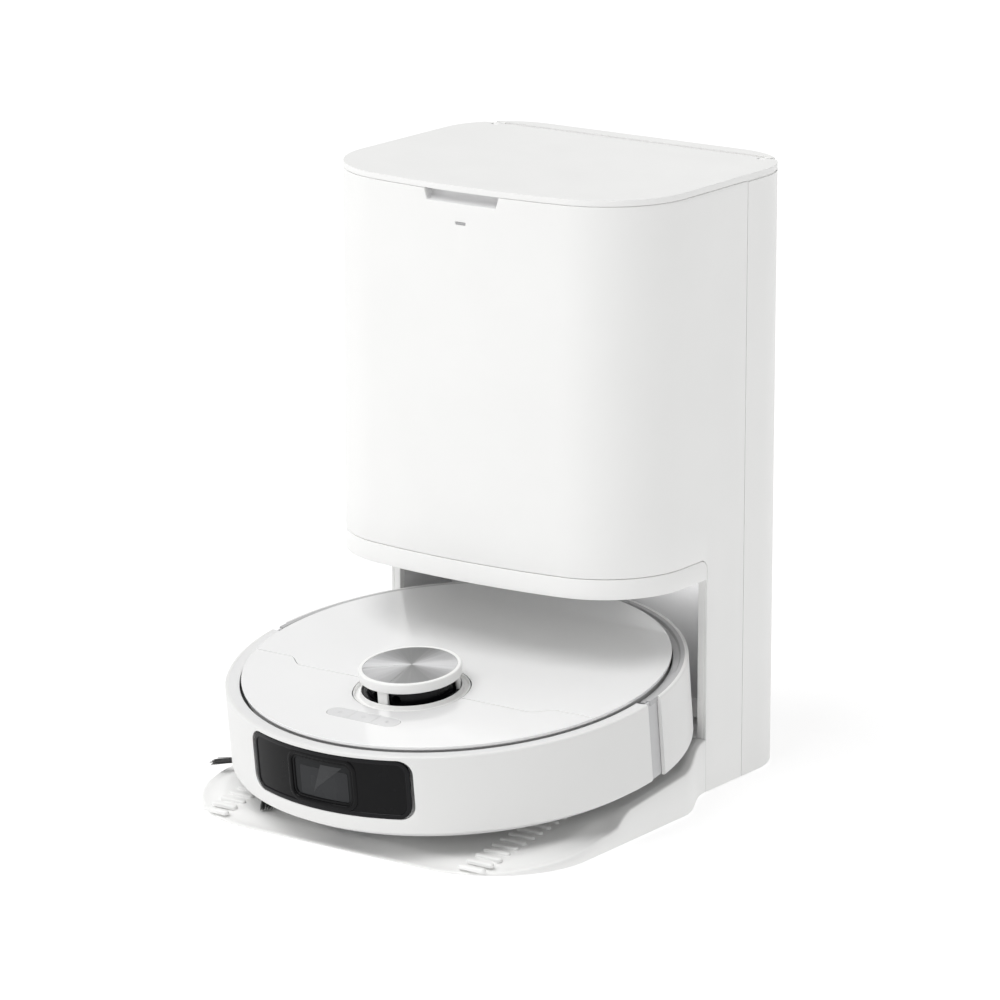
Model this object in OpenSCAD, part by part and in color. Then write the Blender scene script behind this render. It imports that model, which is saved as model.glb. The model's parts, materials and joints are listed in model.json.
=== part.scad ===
// Robot vacuum with mopping pads, docked in its self-washing base station.
// The frame has +Z up, the front faces -Y, and the origin is the centre of the footprint on the floor.
// Robot parts are drawn level, in the robot's own frame: its centre at x = y = 0 and its running plane at z = 0.
// docked() then carries them to where the robot stands in the station, nose down on the ramp.

/* [Station] */
// Depth of the whole set, from the robot's nose to the station's back
set_depth = 422; // [415:1:430]
// Height to the top of the station's lid
station_h = 472; // [450:1:500]
// Width of the station's upper body
body_w = 296; // [290:1:300]
// Depth of the station's upper body
body_d = 243; // [235:1:250]
// Radius of the upper body's front corners
front_r = 72; // [66:1:78]
// Radius of the upper body's rear corners
rear_r = 57; // [50:1:60]
// Radius of the slight bulge of the front face
bulge_r = 620; // [500:10:900]
// Thickness of the moulded panels
skin_t = 2.6; // [2:0.1:3]
// Height of the underside of the upper body over the robot bay
soffit_z = 170; // [166:1:176]
// Height of the line between the trim strip and the front panel
strip_z = 186; // [182:1:192]
// Thickness of the lid
lid_t = 4.5; // [4:0.1:5]
// Half width of the robot bay between the jambs
bay_hw = 139.6; // [136:0.1:141]

/* [Tray] */
// Width of the ramp tray
tray_w = 336; // [330:1:340]
// Radius of the tray's front corners
tray_front_r = 82; // [76:1:88]
// Height of the tray's front lip
lip_z = 3; // [2:0.5:4]
// Number of anti-slip ribs on each wheel track
rib_count = 12; // [6:1:12]

/* [Robot] */
// Radius of the robot
robot_r = 175; // [174:0.5:176]
// Height of the robot's top plate over its running plane
plate_h = 79; // [78.5:0.1:79.5]
// Radius of the glossy top plate
plate_r = 162.5; // [161:0.5:163]
// Nose-down pitch of the docked robot
dock_pitch = 7; // [6.5:0.1:7]
// Height of the docked robot's plate centre over the floor
plate_z = 108.5; // [108:0.1:110]
// Distance from the docked robot's centre to the station's back
dock_offset = 249; // [248:0.5:250]
// Distance of the laser turret ahead of the robot's centre
turret_y = 56.9; // [55:0.1:59]
// Radius of the turret's cap
cap_r = 38.7; // [37:0.1:40]
// Radius of the drive wheels
wheel_r = 35; // [34:0.5:35]
// Distance of the drive wheels from the centre line
wheel_x = 120; // [119:0.5:120]
// Radius of the round mop pads
mop_r = 62; // [58:0.5:62]
// Radius swept by the side brush
side_brush_r = 62; // [48:1:62]

/* [Hidden] */
$fn = 96;
eps = 0.01;
big = 600;

// Station planes, front to back and bottom to top
back_y = set_depth / 2;
face_y = back_y - body_d;
robot_y = back_y - dock_offset;
jamb_y = back_y - 131;
split_y = back_y - 81;
tub_back_y = back_y - 64;
bay_back_y = back_y - 62;
body_hw = body_w / 2;
base_z = 2;
lid_z = station_h - lid_t;
hinge_y = back_y - 21;
hinge_z = lid_z - 1;
hinge_r = lid_t + 1;
hinge_half = 120;
pin_r = 2;
run_gap = 0.05;
wall_z = hinge_z - 0.4;
tub_z = 190;
tank_z = tub_z + 5;
tank_h = 205;
tank_in = 6.5;
cap_z = tank_z + tank_h;
handle_y = tub_back_y - 80;
handle_z = cap_z + 11;
recess_w = 68;
recess_h = 9;
lens_z = 444;
hose_bend = 8;

// Centres of the body outline's arcs
corner_x = body_hw - front_r;
bulge_y = face_y + bulge_r;
corner_y = bulge_y - sqrt(pow(bulge_r - front_r, 2) - pow(corner_x, 2));
rear_x = body_hw - rear_r;
rear_corner_y = back_y - rear_r;

// Tray
tray_hw = tray_w / 2;
tray_front_y = robot_y - 152;
flank_y = jamb_y - 50;
flank_r = (pow(50, 2) + pow(tray_hw - body_hw, 2)) / (4 * (tray_hw - body_hw));
ramp_drop = 4.4;
track_x = 118;
rib_l = 18;
rib_w = 4.6;
rib_t = 2.6;
rib_pitch = 10.4;
rib_turn = 1;
basin_d = 6;
rim_w = 10;
ramp_gap = 0.1;
cavity_hw = 106;

// Robot
rim_z = plate_h - 2.8;
plate_t = 2.4;
plate_in = 0.35;
bumper_z = 15;
shell_t = 3;
bumper_a = 89.5;
rear_a = 95.2;
deck_r = 160;
window_a = 25;
brush_y = -18;
brush_r = 19;
wheel_y = 2;
wheel_w = 18;
wheel_z = wheel_r - 4;
arm_y = -36;
arm_z = 52;
caster_y = -135;
caster_r = 12.5;
trail = 5.5;
caster_z = caster_r - 2;
hub_x = -112;
hub_y = -88;
mop_x = 64;
mop_y = 84;
mop_lift = 7;
turret_z = plate_h + 1.6;
gap_z = plate_h + 11;
cap_top = plate_h + 18.6;
button_y = -117.5;
button_hw = 32;
button_hd = 7.5;
seam_in = 105;
seam_out = 124;
seam_front = -56.5;
seam_rear = -45;

// Smooth step from 0 to 1 over t = 0 to 1
function smooth(t) = let(u = min(1, max(0, t))) u * u * (3 - 2 * u);

// Height of the tray's side wall at a distance y from the docked robot's centre
function wall_top(y) = lip_z + 0.105 * (y + 152) + 9.5 * smooth((y + 33) / 18) + 10 * smooth((y - 58) / 24);

// Carries a part from the robot's own frame to the docked place
module docked() {
    translate([0, robot_y, plate_z]) rotate([dock_pitch, 0, 0]) translate([0, 0, -plate_h]) children();
}

// Outline of the station's body, drawn in by inset
module body_plan(inset = 0) {
    hw = body_hw - inset;
    slope = corner_x / (bulge_y - corner_y);
    for (s = [-1, 1]) {
        translate([s * corner_x, corner_y]) circle(r = front_r - inset);
        translate([s * rear_x, rear_corner_y]) circle(r = rear_r - inset);
    }
    intersection() {
        translate([0, bulge_y]) circle(r = bulge_r - inset, $fn = 200);
        polygon([
            for (p = [[-1, 0], [1, 0], [1, 1], [-1, 1]])
                let(y = p[1] == 0 ? face_y - 20 : rear_corner_y)
                [p[0] * slope * (bulge_y - y), y]
        ]);
    }
    translate([-hw, corner_y]) square([2 * hw, rear_corner_y - corner_y]);
    translate([-rear_x, rear_corner_y - 1]) square([2 * rear_x, rear_r - inset + 1]);
}

// Part of the body outline between two distances from front to back
module body_slice(inset, y0, y1) {
    intersection() {
        body_plan(inset);
        translate([-big / 2, y0]) square([big, y1 - y0]);
    }
}

// A wall of the body's outline, t thick
module body_wall(inset, t, y0, y1) {
    difference() {
        body_slice(inset, y0, y1);
        body_plan(inset + t);
    }
}

// Extrudes an outline given in the Y-Z plane across the width w, centred on x = 0
module across(w) {
    translate([-w / 2, 0, 0]) rotate([90, 0, 90]) linear_extrude(w) children();
}

module rounded_rect(w, h, r) {
    square([w - 2 * r, h], center = true);
    square([w, h - 2 * r], center = true);
    for (x = [-1, 1], y = [-1, 1]) translate([x * (w / 2 - r), y * (h / 2 - r)]) circle(r = r);
}

module tube(r0, r1, h) {
    difference() {
        cylinder(r = r1, h = h);
        translate([0, 0, -eps]) cylinder(r = r0, h = h + 2 * eps);
    }
}

// A sector of a ring, from angle a0 to a1 counted from the robot's nose towards +X
module arc_wall(r0, r1, z0, z1, a0, a1) {
    rotate([0, 0, a0 - 90]) rotate_extrude(angle = a1 - a0, $fn = 200)
        translate([r0, z0]) square([r1 - r0, z1 - z0]);
}

// ---------------------------------------------------------------- station

module tray_plan() {
    mid_x = (tray_hw + body_hw) / 2;
    mid_y = (flank_y + jamb_y) / 2;
    union() {
        translate([-tray_hw, tray_front_y + tray_front_r])
            square([tray_w, flank_y - tray_front_y - tray_front_r]);
        translate([-(tray_hw - tray_front_r), tray_front_y])
            square([2 * (tray_hw - tray_front_r), tray_front_r + 1]);
        for (s = [-1, 1]) {
            translate([s * (tray_hw - tray_front_r), tray_front_y + tray_front_r])
                circle(r = tray_front_r);
            translate([s * (tray_hw - flank_r), flank_y]) circle(r = flank_r);
            difference() {
                polygon([
                    [s * (tray_hw - flank_r), flank_y], [s * mid_x, mid_y], [s * (mid_x + 2), jamb_y],
                    [s * (body_hw - 12), jamb_y], [s * (body_hw - 12), flank_y]
                ]);
                translate([s * (body_hw + flank_r), jamb_y]) circle(r = flank_r);
            }
        }
        translate([-(body_hw - 10), flank_y]) square([2 * (body_hw - 10), jamb_y - flank_y]);
        translate([-(bay_hw - 0.3), flank_y])
            square([2 * (bay_hw - 0.3), bay_back_y - 0.3 - flank_y]);
    }
}

module rib(x, y, turn) {
    translate([x, y, ramp_z(y) - 1]) rotate([dock_pitch, 0, 0]) rotate([0, 0, turn]) {
        translate([-rib_l / 2, -rib_w / 2, 0]) cube([rib_l, rib_w, rib_t]);
        for (s = [-1, 1]) translate([s * rib_l / 2, 0, 0]) cylinder(r = rib_w / 2, h = rib_t);
    }
}

// Height of the ramp at a place in the station's frame
function ramp_z(y) =
    plate_z - (plate_h + ramp_drop) / cos(dock_pitch) + (y - robot_y) * tan(dock_pitch);

module tray() color("whitesmoke") difference() {
    union() {
        intersection() {
            translate([0, 0, base_z]) linear_extrude(60) tray_plan();
            across(big) polygon(concat(
                [[back_y, 0], [tray_front_y - 1, 0]],
                [for (y = [-153 : 4 : 131]) [robot_y + y, wall_top(y)]],
                [[back_y, wall_top(131)]]
            ));
        }
        intersection() {
            translate([0, 0, base_z]) linear_extrude(60) intersection() {
                tray_plan();
                translate([0, 8]) tray_plan();
                translate([-tray_hw + rim_w + 0.5, -big / 2]) square([tray_w - 2 * rim_w - 1, big]);
            }
            across(big) polygon([
                [tray_front_y + 4, 0], [tray_front_y + 4, lip_z], [tray_front_y + 14, ramp_z(tray_front_y + 14)],
                [bay_back_y, ramp_z(bay_back_y)], [bay_back_y, 0]
            ]);
        }
        intersection() {
            translate([0, 6, base_z]) linear_extrude(60) tray_plan();
            for (i = [0 : rib_count - 1], s = [-1, 1])
                rib(s * track_x, robot_y - 144 + rib_pitch * i, rib_turn * s);
        }
    }
    intersection() {
        translate([0, 0, base_z]) linear_extrude(90) {
            translate([-(tray_hw - rim_w), robot_y - 26]) square([tray_w - 2 * rim_w, 84]);
            translate([-(bay_hw - 3), robot_y]) square([2 * (bay_hw - 3), back_y]);
        }
        translate([0, 0, ramp_gap]) across(big) polygon([
            [robot_y - 26, ramp_z(robot_y - 26)], [back_y, ramp_z(back_y)], [back_y, 200], [robot_y - 26, 200]
        ]);
    }
    docked() {
        translate([-bay_hw + 14, 18, -ramp_drop - basin_d]) cube([2 * bay_hw - 28, 135, 80]);
    }
    across(2 * cavity_hw) polygon([
        [tray_front_y + 50, -1], [tray_front_y + 50, ramp_z(tray_front_y + 50) - 9.5],
        [bay_back_y - 4, ramp_z(bay_back_y - 4) - 9.5], [bay_back_y - 4, -1]
    ]);
}

module washboard() color("silver") docked() difference() {
    union() {
        translate([0, 0, -ramp_drop - 2]) {
            for (s = [-1, 1]) translate([s * mop_x, mop_y, 0]) cylinder(r = mop_r - 3, h = ramp_drop - 0.2);
            translate([-60, 32, 0]) cube([120, 110, ramp_drop - 0.2]);
            for (x = [-40, 40], y = [44, 130]) translate([x, y, 2.1 - basin_d])
                cylinder(r = 4, h = basin_d - 2);
        }
        for (s = [-1, 1], a = [0 : 30 : 330])
            translate([s * mop_x, mop_y, -3]) rotate([0, 0, a]) translate([16, -1.2, 0])
                cube([38, 2.4, 2.6]);
    }
    for (s = [-1, 1]) translate([s * mop_x, mop_y, -10]) cylinder(r = 9, h = 12);
    for (x = [-12, 0, 12]) translate([x - 2, 108, -10]) cube([4, 26, 12]);
}

// Side profile of the opening under the front panel, with its upper corner rounded by r
module bay_profile(top, back, r) {
    translate([back - big, -1]) square([big - r, top + 1]);
    translate([back - big, -1]) square([big, top + 1 - r]);
    translate([back - r, top - r]) circle(r = r);
}

module outer_skin() color("white") difference() {
    translate([0, 0, base_z]) linear_extrude(wall_z - base_z) body_wall(0, skin_t, face_y - 1, split_y);
    across(big) bay_profile(strip_z, jamb_y, 8);
    translate([-recess_w / 2, face_y - 1, lid_z - recess_h]) cube([recess_w, 11, recess_h + 1]);
    translate([0, face_y, lens_z]) cube([9.2, 20, 2.2], center = true);
}

module rear_shell() color("white") difference() {
    union() {
        translate([0, 0, base_z]) linear_extrude(wall_z - base_z) body_wall(0, skin_t, split_y + 0.4, back_y + 1);
        translate([0, 0, lid_z - 14]) linear_extrude(lid_t + 14) body_slice(0, hinge_y + hinge_r + 0.7, back_y + 1);
        intersection() {
            translate([0, 0, hinge_z - 11]) linear_extrude(11 + hinge_r) body_plan(0);
            for (s = [-1, 1]) translate([s * (hinge_half + 3.5) - 3, hinge_y, hinge_z]) {
                rotate([0, 90, 0]) cylinder(r = hinge_r, h = 6);
                translate([0, 0, -hinge_r]) cube([6, hinge_r + 3, 2 * hinge_r - 0.5]);
            }
        }
    }
    translate([0, hinge_y, hinge_z]) rotate([0, 90, 0]) cylinder(r = pin_r, h = big, center = true);
    translate([-62, back_y - 10, 34]) cube([28, 20, 20]);
    for (i = [0 : 7]) translate([30, back_y - 10, 60 + 7 * i]) cube([56, 20, 3]);
}

module trim_frame() color("gainsboro") {
    difference() {
        union() {
            translate([0, 0, soffit_z]) linear_extrude(strip_z - soffit_z - 0.4)
                body_wall(0, skin_t, face_y - 1, jamb_y - 0.4);
            translate([0, 0, soffit_z]) linear_extrude(3) {
                body_slice(skin_t - 0.6, face_y - 1, jamb_y - 0.4);
                body_slice(skin_t + 0.2, jamb_y - 1, bay_back_y);
            }
        }
        difference() {
            translate([-big / 2, jamb_y - 20, strip_z - 20]) cube([big, 30, 30]);
            across(2 * big) bay_profile(strip_z - 0.4, jamb_y - 0.4, 7.6);
            translate([-body_hw + skin_t + 0.4, jamb_y - 50, 0]) cube([body_w - 2 * skin_t - 0.8, 100, big]);
        }
    }
    for (s = [-1, 1]) translate([s * (bay_hw + 2.8) - 2.8, jamb_y, base_z]) cube([5.6, 6, soffit_z - base_z]);
}

module bay_liner() color("silver") translate([0, 0, base_z]) difference() {
    union() {
        for (s = [-1, 1]) translate([s * (bay_hw + 1) - 1, jamb_y + 6.2, 0])
            cube([2, bay_back_y + 2 - jamb_y - 6.2, soffit_z - base_z - 0.3]);
        translate([-bay_hw, bay_back_y, 0]) cube([2 * bay_hw, 2, soffit_z - base_z - 0.3]);
        linear_extrude(2.4) body_slice(skin_t + 0.3, bay_back_y, back_y);
    }
    for (i = [0 : 5]) translate([-95, bay_back_y - 1, 100 + 7 * i]) cube([44, 4, 3.5]);
}

module finger_cup() difference() {
    translate([0, 0, lid_z - recess_h - 5]) linear_extrude(recess_h + 5 - (lid_z - wall_z)) intersection() {
        body_plan(skin_t + 0.4);
        translate([-recess_w / 2 - 3, face_y - 1]) square([recess_w + 6, 14]);
    }
    translate([-recess_w / 2, face_y - 1, lid_z - recess_h]) cube([recess_w, 11, recess_h + 1]);
}

module tank_tub() color("gainsboro") {
    finger_cup();
    difference() {
        translate([0, 0, tub_z]) linear_extrude(3) body_slice(skin_t + 0.4, face_y, tub_back_y + 3);
        for (s = [-1, 1]) translate([s * 72, tub_back_y - 40, tub_z - 1]) cylinder(r = 8, h = 6);
    }
    translate([0, 0, tub_z + 3]) linear_extrude(wall_z - 12 - tub_z) body_slice(skin_t + 0.4, tub_back_y, tub_back_y + 3);
    translate([-1, face_y + 30, tub_z + 3]) cube([2, tub_back_y - face_y - 30, 26]);
}

module lid() color("white") difference() {
    union() {
        translate([0, 0, lid_z]) linear_extrude(lid_t) body_slice(0, face_y - 1, hinge_y);
        translate([-hinge_half, hinge_y, hinge_z]) rotate([0, 90, 0]) cylinder(r = hinge_r, h = 2 * hinge_half);
        translate([0, 0, lid_z - 1.4]) linear_extrude(1.4 + eps) difference() {
            body_slice(9, face_y + 30, hinge_y - 14);
            body_slice(12, face_y + 33, hinge_y - 17);
        }
    }
    for (s = [-1, 1]) {
        translate([s * (hinge_half - 5), hinge_y, hinge_z]) rotate([0, 90, 0])
            cylinder(r = pin_r + run_gap, h = 12, center = true);
        translate([s * (hinge_half + 3.6) - 3.6, hinge_y - hinge_r - 0.6, lid_z - 20])
            cube([7.2, 40, 40]);
    }
}

module hinge_pins() color("silver") for (s = [-1, 1])
    translate([s * (hinge_half + 1) - 5.5, hinge_y, hinge_z]) rotate([0, 90, 0]) cylinder(r = pin_r, h = 11);

// Plan of one water tank on the side s, drawn in by inset
module tank_plan(s, inset) {
    intersection() {
        body_plan(tank_in + inset);
        translate([s > 0 ? 2 + inset : -body_hw, face_y]) square([body_hw - 2 - inset, tub_back_y - 2 - inset - face_y]);
    }
}

module tank(s) translate([0, 0, tank_z]) difference() {
    linear_extrude(tank_h) tank_plan(s, 0);
    translate([0, 0, 2.5]) linear_extrude(tank_h) tank_plan(s, 2.5);
}

// The two ears that a tank's handle turns in, from height low up, clipped into the cap
module cap_ears(s, low, clearance) for (e = [-1, 1])
    translate([s * 72 + e * 43 - 3 - clearance, handle_y - 6 - clearance, low])
        cube([6 + 2 * clearance, 12 + 2 * clearance, 16 - low]);

module tank_cap(s) translate([0, 0, cap_z]) {
    difference() {
        union() {
            translate([0, 0, 0.1]) linear_extrude(4) tank_plan(s, 0);
            translate([0, 0, -5]) linear_extrude(5.2) difference() {
                tank_plan(s, 3);
                tank_plan(s, 6);
            }
        }
        translate([s * 74, face_y + 52, -6]) cylinder(r = 14, h = 12);
        cap_ears(s, -6, 0.1);
    }
    translate([s * 74, face_y + 52, 0.5]) cylinder(r = 13.6, h = 5);
    difference() {
        cap_ears(s, 0.1, 0);
        translate([s * 72, handle_y, handle_z - cap_z]) rotate([0, 90, 0])
            cylinder(r = 2.5 + run_gap, h = 100, center = true);
    }
}

module tank_handle(s) translate([s * 72, handle_y, handle_z]) {
    for (e = [-1, 1]) {
        translate([e * 49.6 - 2.5, -36, -4]) cube([5, 36, 8]);
        translate([e * 49.6 - 2.5, 0, 0]) rotate([0, 90, 0]) cylinder(r = 4, h = 5);
        translate([e * 43 + (e > 0 ? -3 : -4.2), 0, 0]) rotate([0, 90, 0]) cylinder(r = 2.5, h = 7.2);
    }
    translate([-52.1, -42, -4]) cube([104.2, 8, 8]);
}

module clean_tank() color("aliceblue") tank(-1);

module clean_tank_cap() color("steelblue") tank_cap(-1);

module clean_tank_handle() color("white") tank_handle(-1);

module dirty_tank() color("lightgray") tank(1);

module dirty_tank_cap() color("dimgray") tank_cap(1);

module dirty_tank_handle() color("white") tank_handle(1);

module status_lens() color("silver") translate([0, face_y + 1.5, lens_z]) cube([9, 2.6, 2], center = true);

module charging_contacts() color("gold") docked() for (s = [-1, 1]) translate([s * 24 - 5, 0, 29]) {
    translate([0, robot_r + 0.2, 0]) cube([10, 1.5, 8]);
    translate([2, robot_r + 1.2, 2]) cube([6, 6.2, 4]);
}

module pumps() color("dimgray") for (x = [30, 84]) translate([x, back_y - 36, base_z + 2.6]) {
    cylinder(r = 17, h = 56);
    translate([0, 0, 56]) cylinder(r = 11, h = 14);
    translate([-4, -14, 60]) cube([8, 12, 8]);
}

module dryer_fan() color("darkslategray") translate([-73, back_y - 57, 120]) rotate([-90, 0, 0]) {
    difference() {
        cylinder(r = 34, h = 24);
        translate([0, 0, 6]) cylinder(r = 26, h = 20);
    }
    translate([0, 0, 5]) cylinder(r = 11, h = 17);
}

module station_board() color("seagreen") translate([-50, tub_back_y + 6, 320]) {
    cube([100, 1.6, 90]);
    for (p = [[10, 12], [44, 20], [66, 50], [20, 56]]) translate([p[0], 1.5, p[1]]) cube([18, 3.5, 18]);
    translate([6, 1.5, 80]) cube([80, 8, 8]);
}

module power_supply() color("darkgray") translate([-90, back_y - 50, 190]) {
    cube([75, 34, 110]);
    translate([8, 34, 10]) cube([59, 3, 90]);
}

module power_inlet() color("black") translate([-61.8, back_y - 20, 34.2]) difference() {
    cube([27.6, 20, 19.6]);
    translate([3, 5, 3.2]) cube([21.6, 16, 13.2]);
}

module rubber_feet() color("dimgray") {
    for (x = [-1, 1]) {
        translate([x * 118, tray_front_y + 34, 0]) cylinder(r = 9, h = base_z);
        translate([x * 118, jamb_y - 40, 0]) cylinder(r = 9, h = base_z);
        translate([x * 95, back_y - 24, 0]) cylinder(r = 9, h = base_z);
    }
}

module hoses() color("lightsteelblue") for (s = [-1, 1]) translate([s * 72, tub_back_y - 40, tub_z - 2]) {
    cylinder(r = 4, h = 6);
    translate([0, hose_bend, 0]) rotate([-90, 0, 0]) rotate([0, 90, 0]) rotate_extrude(angle = 90)
        translate([hose_bend, 0]) circle(r = 4);
    translate([0, hose_bend, -hose_bend]) rotate([-90, 0, 0]) cylinder(r = 4, h = 48);
}

// ---------------------------------------------------------------- robot

module mop_places() for (s = [-1, 1]) translate([s * mop_x, mop_y, 0]) children();

module chassis() color("gainsboro") docked() intersection() {
    cylinder(r = robot_r - shell_t - 3.6, h = 100, $fn = 200);
    difference() {
        union() {
            translate([0, 0, 10]) cylinder(r = 166, h = 3, $fn = 200);
            translate([0, 0, 10]) tube(deck_r - 3, deck_r, rim_z + 0.1 - 10);
            mop_places() translate([0, 0, 10]) cylinder(r = mop_r + 4.5, h = 13);
            translate([-95, brush_y - 27, 10]) cube([190, 54, 33]);
            translate([0, caster_y, 10]) cylinder(r = 23.5, h = 28);
            for (s = [-1, 1]) {
                translate([s * wheel_x - 17.5, wheel_y - 42, 10]) cube([35, 86, 16]);
                translate([s * 95 - 2, arm_y - 8, 10]) cube([4, 16, arm_z - 2]);
            }
            translate([hub_x, hub_y, 10]) cylinder(r = 13.5, h = 30);
        }
        mop_places() {
            translate([0, 0, -1]) cylinder(r = mop_r + 2.5, h = 22);
            cylinder(r = 9, h = 40);
        }
        translate([-92.6, brush_y - 24.6, -1]) cube([185.2, 49.2, 12]);
        translate([-88, brush_y - 22, -1]) cube([176, 44, 42]);
        translate([0, caster_y, -1]) cylinder(r = 21, h = 37);
        translate([0, caster_y, 0]) cylinder(r = 4 + run_gap, h = 50);
        translate([hub_x, hub_y, -1]) cylinder(r = 3 + run_gap, h = 18.4);
        for (s = [-1, 1]) translate([s * wheel_x - 15.5, wheel_y - 40, -1]) cube([31, 82, 60]);
        for (s = [-1, 1]) translate([s * 109.5 - 11.5, wheel_y - 50, 13]) cube([23, 92, 60]);
        translate([0, arm_y, arm_z]) rotate([0, 90, 0]) cylinder(r = 3 + run_gap, h = 220, center = true);
        translate([0, brush_y, brush_r]) rotate([0, 90, 0]) cylinder(r = 4 + run_gap, h = 184, center = true);
    }
}

// Profile of a top rim: a flat lip and a wall, with the outer edge rounded
module rim_profile(r_in, z0) {
    translate([r_in, rim_z - 1.8]) square([robot_r - 2.5 - r_in, 1.8]);
    translate([robot_r - shell_t, z0]) square([shell_t, rim_z - 2.5 - z0]);
    intersection() {
        translate([robot_r - 2.5, rim_z - 2.5]) circle(r = 2.5);
        translate([robot_r - 3, rim_z - 3]) square([3, 3]);
    }
    translate([robot_r - shell_t, rim_z - 3]) square([1, 3]);
}

module side_shell() color("gainsboro") docked() difference() {
    union() {
        rotate([0, 0, rear_a - 90]) rotate_extrude(angle = 360 - 2 * rear_a, $fn = 200)
            rim_profile(plate_r + 0.4, 13.4);
        for (s = [0, 1]) mirror([s, 0, 0]) {
            arc_wall(robot_r - 7, robot_r - 5, 13.9, rim_z - 2.4, 88, rear_a + 1.2);
            arc_wall(plate_r + 0.5, robot_r - 5, rim_z - 1.7, rim_z - 0.1, 92, rear_a + 1);
            arc_wall(robot_r - 6.5, robot_r - 1, 14.3, rim_z - 1, rear_a + 0.4, rear_a + 1.8);
            arc_wall(deck_r + 0.3, robot_r - 2.8, 13.2, 15.2, rear_a + 1, rear_a + 12);
            arc_wall(deck_r + 0.3, robot_r - 2.8, 13.2, 15.2, 168, 181);
        }
    }
    for (s = [-1, 1]) translate([s * 24 - 6, robot_r - 8, 28]) cube([12, 12, 10]);
}

module robot_contacts() color("gold") docked() intersection() {
    tube(robot_r - 2, robot_r, 100);
    union() for (s = [-1, 1]) translate([s * 24 - 5.9, robot_r - 6, 28.1]) cube([11.8, 10, 9.8]);
}

// The part of the top behind the seam, moved back by gap
module seam_region(gap) {
    polygon(concat(
        [[-200, 200], [-200, seam_rear + gap], [-seam_out, seam_rear + gap]],
        [for (i = [1 : 9]) [
            -seam_out + (seam_out - seam_in) * i / 10,
            seam_rear + gap + (seam_front - seam_rear) * smooth(i / 10)
        ]],
        [[-seam_in, seam_front + gap], [seam_in, seam_front + gap]],
        [for (i = [9 : -1 : 1]) [
            seam_out - (seam_out - seam_in) * i / 10,
            seam_rear + gap + (seam_front - seam_rear) * smooth(i / 10)
        ]],
        [[seam_out, seam_rear + gap], [200, seam_rear + gap], [200, 200]]
    ));
}

module plate_disc(r) {
    rotate_extrude($fn = 200) {
        translate([0, plate_h - plate_t]) square([r - 1.2, plate_t]);
        translate([0, plate_h - plate_t]) square([r, plate_t - 1.2]);
        translate([r - 1.2, plate_h - 1.2]) circle(r = 1.2);
    }
}

module button_row() {
    square([2 * (button_hw - button_hd), 2 * button_hd], center = true);
    for (s = [-1, 1]) translate([s * (button_hw - button_hd), 0]) circle(r = button_hd);
}

module turret_hole() translate([0, -turret_y, 0]) cylinder(r = 44.7, h = 200, center = true);

module top_plate() color("white") docked() difference() {
    plate_disc(plate_r);
    linear_extrude(200) seam_region(0);
    turret_hole();
    translate([0, button_y, 0]) linear_extrude(200) {
        square([2 * (button_hw - button_hd) + 0.7, 2 * button_hd + 0.7], center = true);
        for (s = [-1, 1]) translate([s * (button_hw - button_hd), 0]) circle(r = button_hd + plate_in);
    }
}

module rear_cover() color("white") docked() intersection() {
    difference() {
        plate_disc(plate_r);
        turret_hole();
    }
    linear_extrude(200) seam_region(plate_in);
}

// Button number i of three, from the left
module button(i) docked() translate([0, button_y, plate_h - 3.4]) linear_extrude(3.5) intersection() {
    button_row();
    translate([-button_hw + i * 2 * button_hw / 3 + 0.2, -20]) square([2 * button_hw / 3 - 0.4, 40]);
}

module button_left() color("whitesmoke") button(0);

module button_centre() color("whitesmoke") button(1);

module button_right() color("whitesmoke") button(2);

module turret_posts(grow, z0, z1) for (a = [0, 120, 240]) rotate([0, 0, a - 90])
    translate([33.4 - grow, -4.5 - grow, z0]) cube([3.6 + 2 * grow, 9 + 2 * grow, z1 - z0]);

module turret_base() color("whitesmoke") docked() translate([0, -turret_y, 0]) difference() {
    union() {
        translate([0, 0, plate_h - 19]) cylinder(r = 40, h = 19);
        translate([0, 0, plate_h - 2.2]) cylinder(r = 44.2, h = 2.4);
        translate([0, 0, plate_h - 2]) cylinder(r = cap_r - 0.5, h = 3.6);
    }
    translate([0, 0, plate_h - 4]) cylinder(r = 33.5, h = 20);
    turret_posts(0.4, plate_h - 6, plate_h + 10);
}

module turret_cap() color("white") docked() translate([0, -turret_y, 0]) {
    difference() {
        union() {
            translate([0, 0, gap_z]) cylinder(r = cap_r, h = cap_top - gap_z - 0.8);
            translate([0, 0, cap_top - 2]) cylinder(r = cap_r - 0.8, h = 2);
        }
        translate([0, 0, cap_top - 0.9]) cylinder(r = 35.7, h = 2);
        translate([0, 0, gap_z - 1]) cylinder(r = 35, h = cap_top - gap_z - 2);
    }
    turret_posts(0, plate_h - 4.2, gap_z + 2);
}

module cap_disc() color("silver") docked() translate([0, -turret_y, cap_top - 0.9]) cylinder(r = 35.6, h = 0.7);

module lidar_rotor() color("black") docked() translate([0, -turret_y, 0]) difference() {
    translate([0, 0, plate_h - 3.6]) cylinder(r = 32.6, h = 14.2);
    for (x = [-9, 9]) translate([x, -24, turret_z + 4]) rotate([90, 0, 0]) cylinder(r = 3.4, h = 12);
}

module window_shape(w, h, r, z) translate([0, 0, z]) rotate([90, 0, 0]) linear_extrude(big) rounded_rect(w, h, r);

module bumper() color("white") docked() difference() {
    rotate([0, 0, -bumper_a - 90]) rotate_extrude(angle = 2 * bumper_a, $fn = 200)
        rim_profile(plate_r + 2, bumper_z);
    window_shape(147, 46.6, 9, 49.9);
}

module bumper_window() color("black") docked() {
    intersection() {
        arc_wall(robot_r - 2.6, robot_r + 0.15, 20, 80, -30, 30);
        window_shape(146.6, 46.2, 8.8, 49.9);
    }
}

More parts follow.
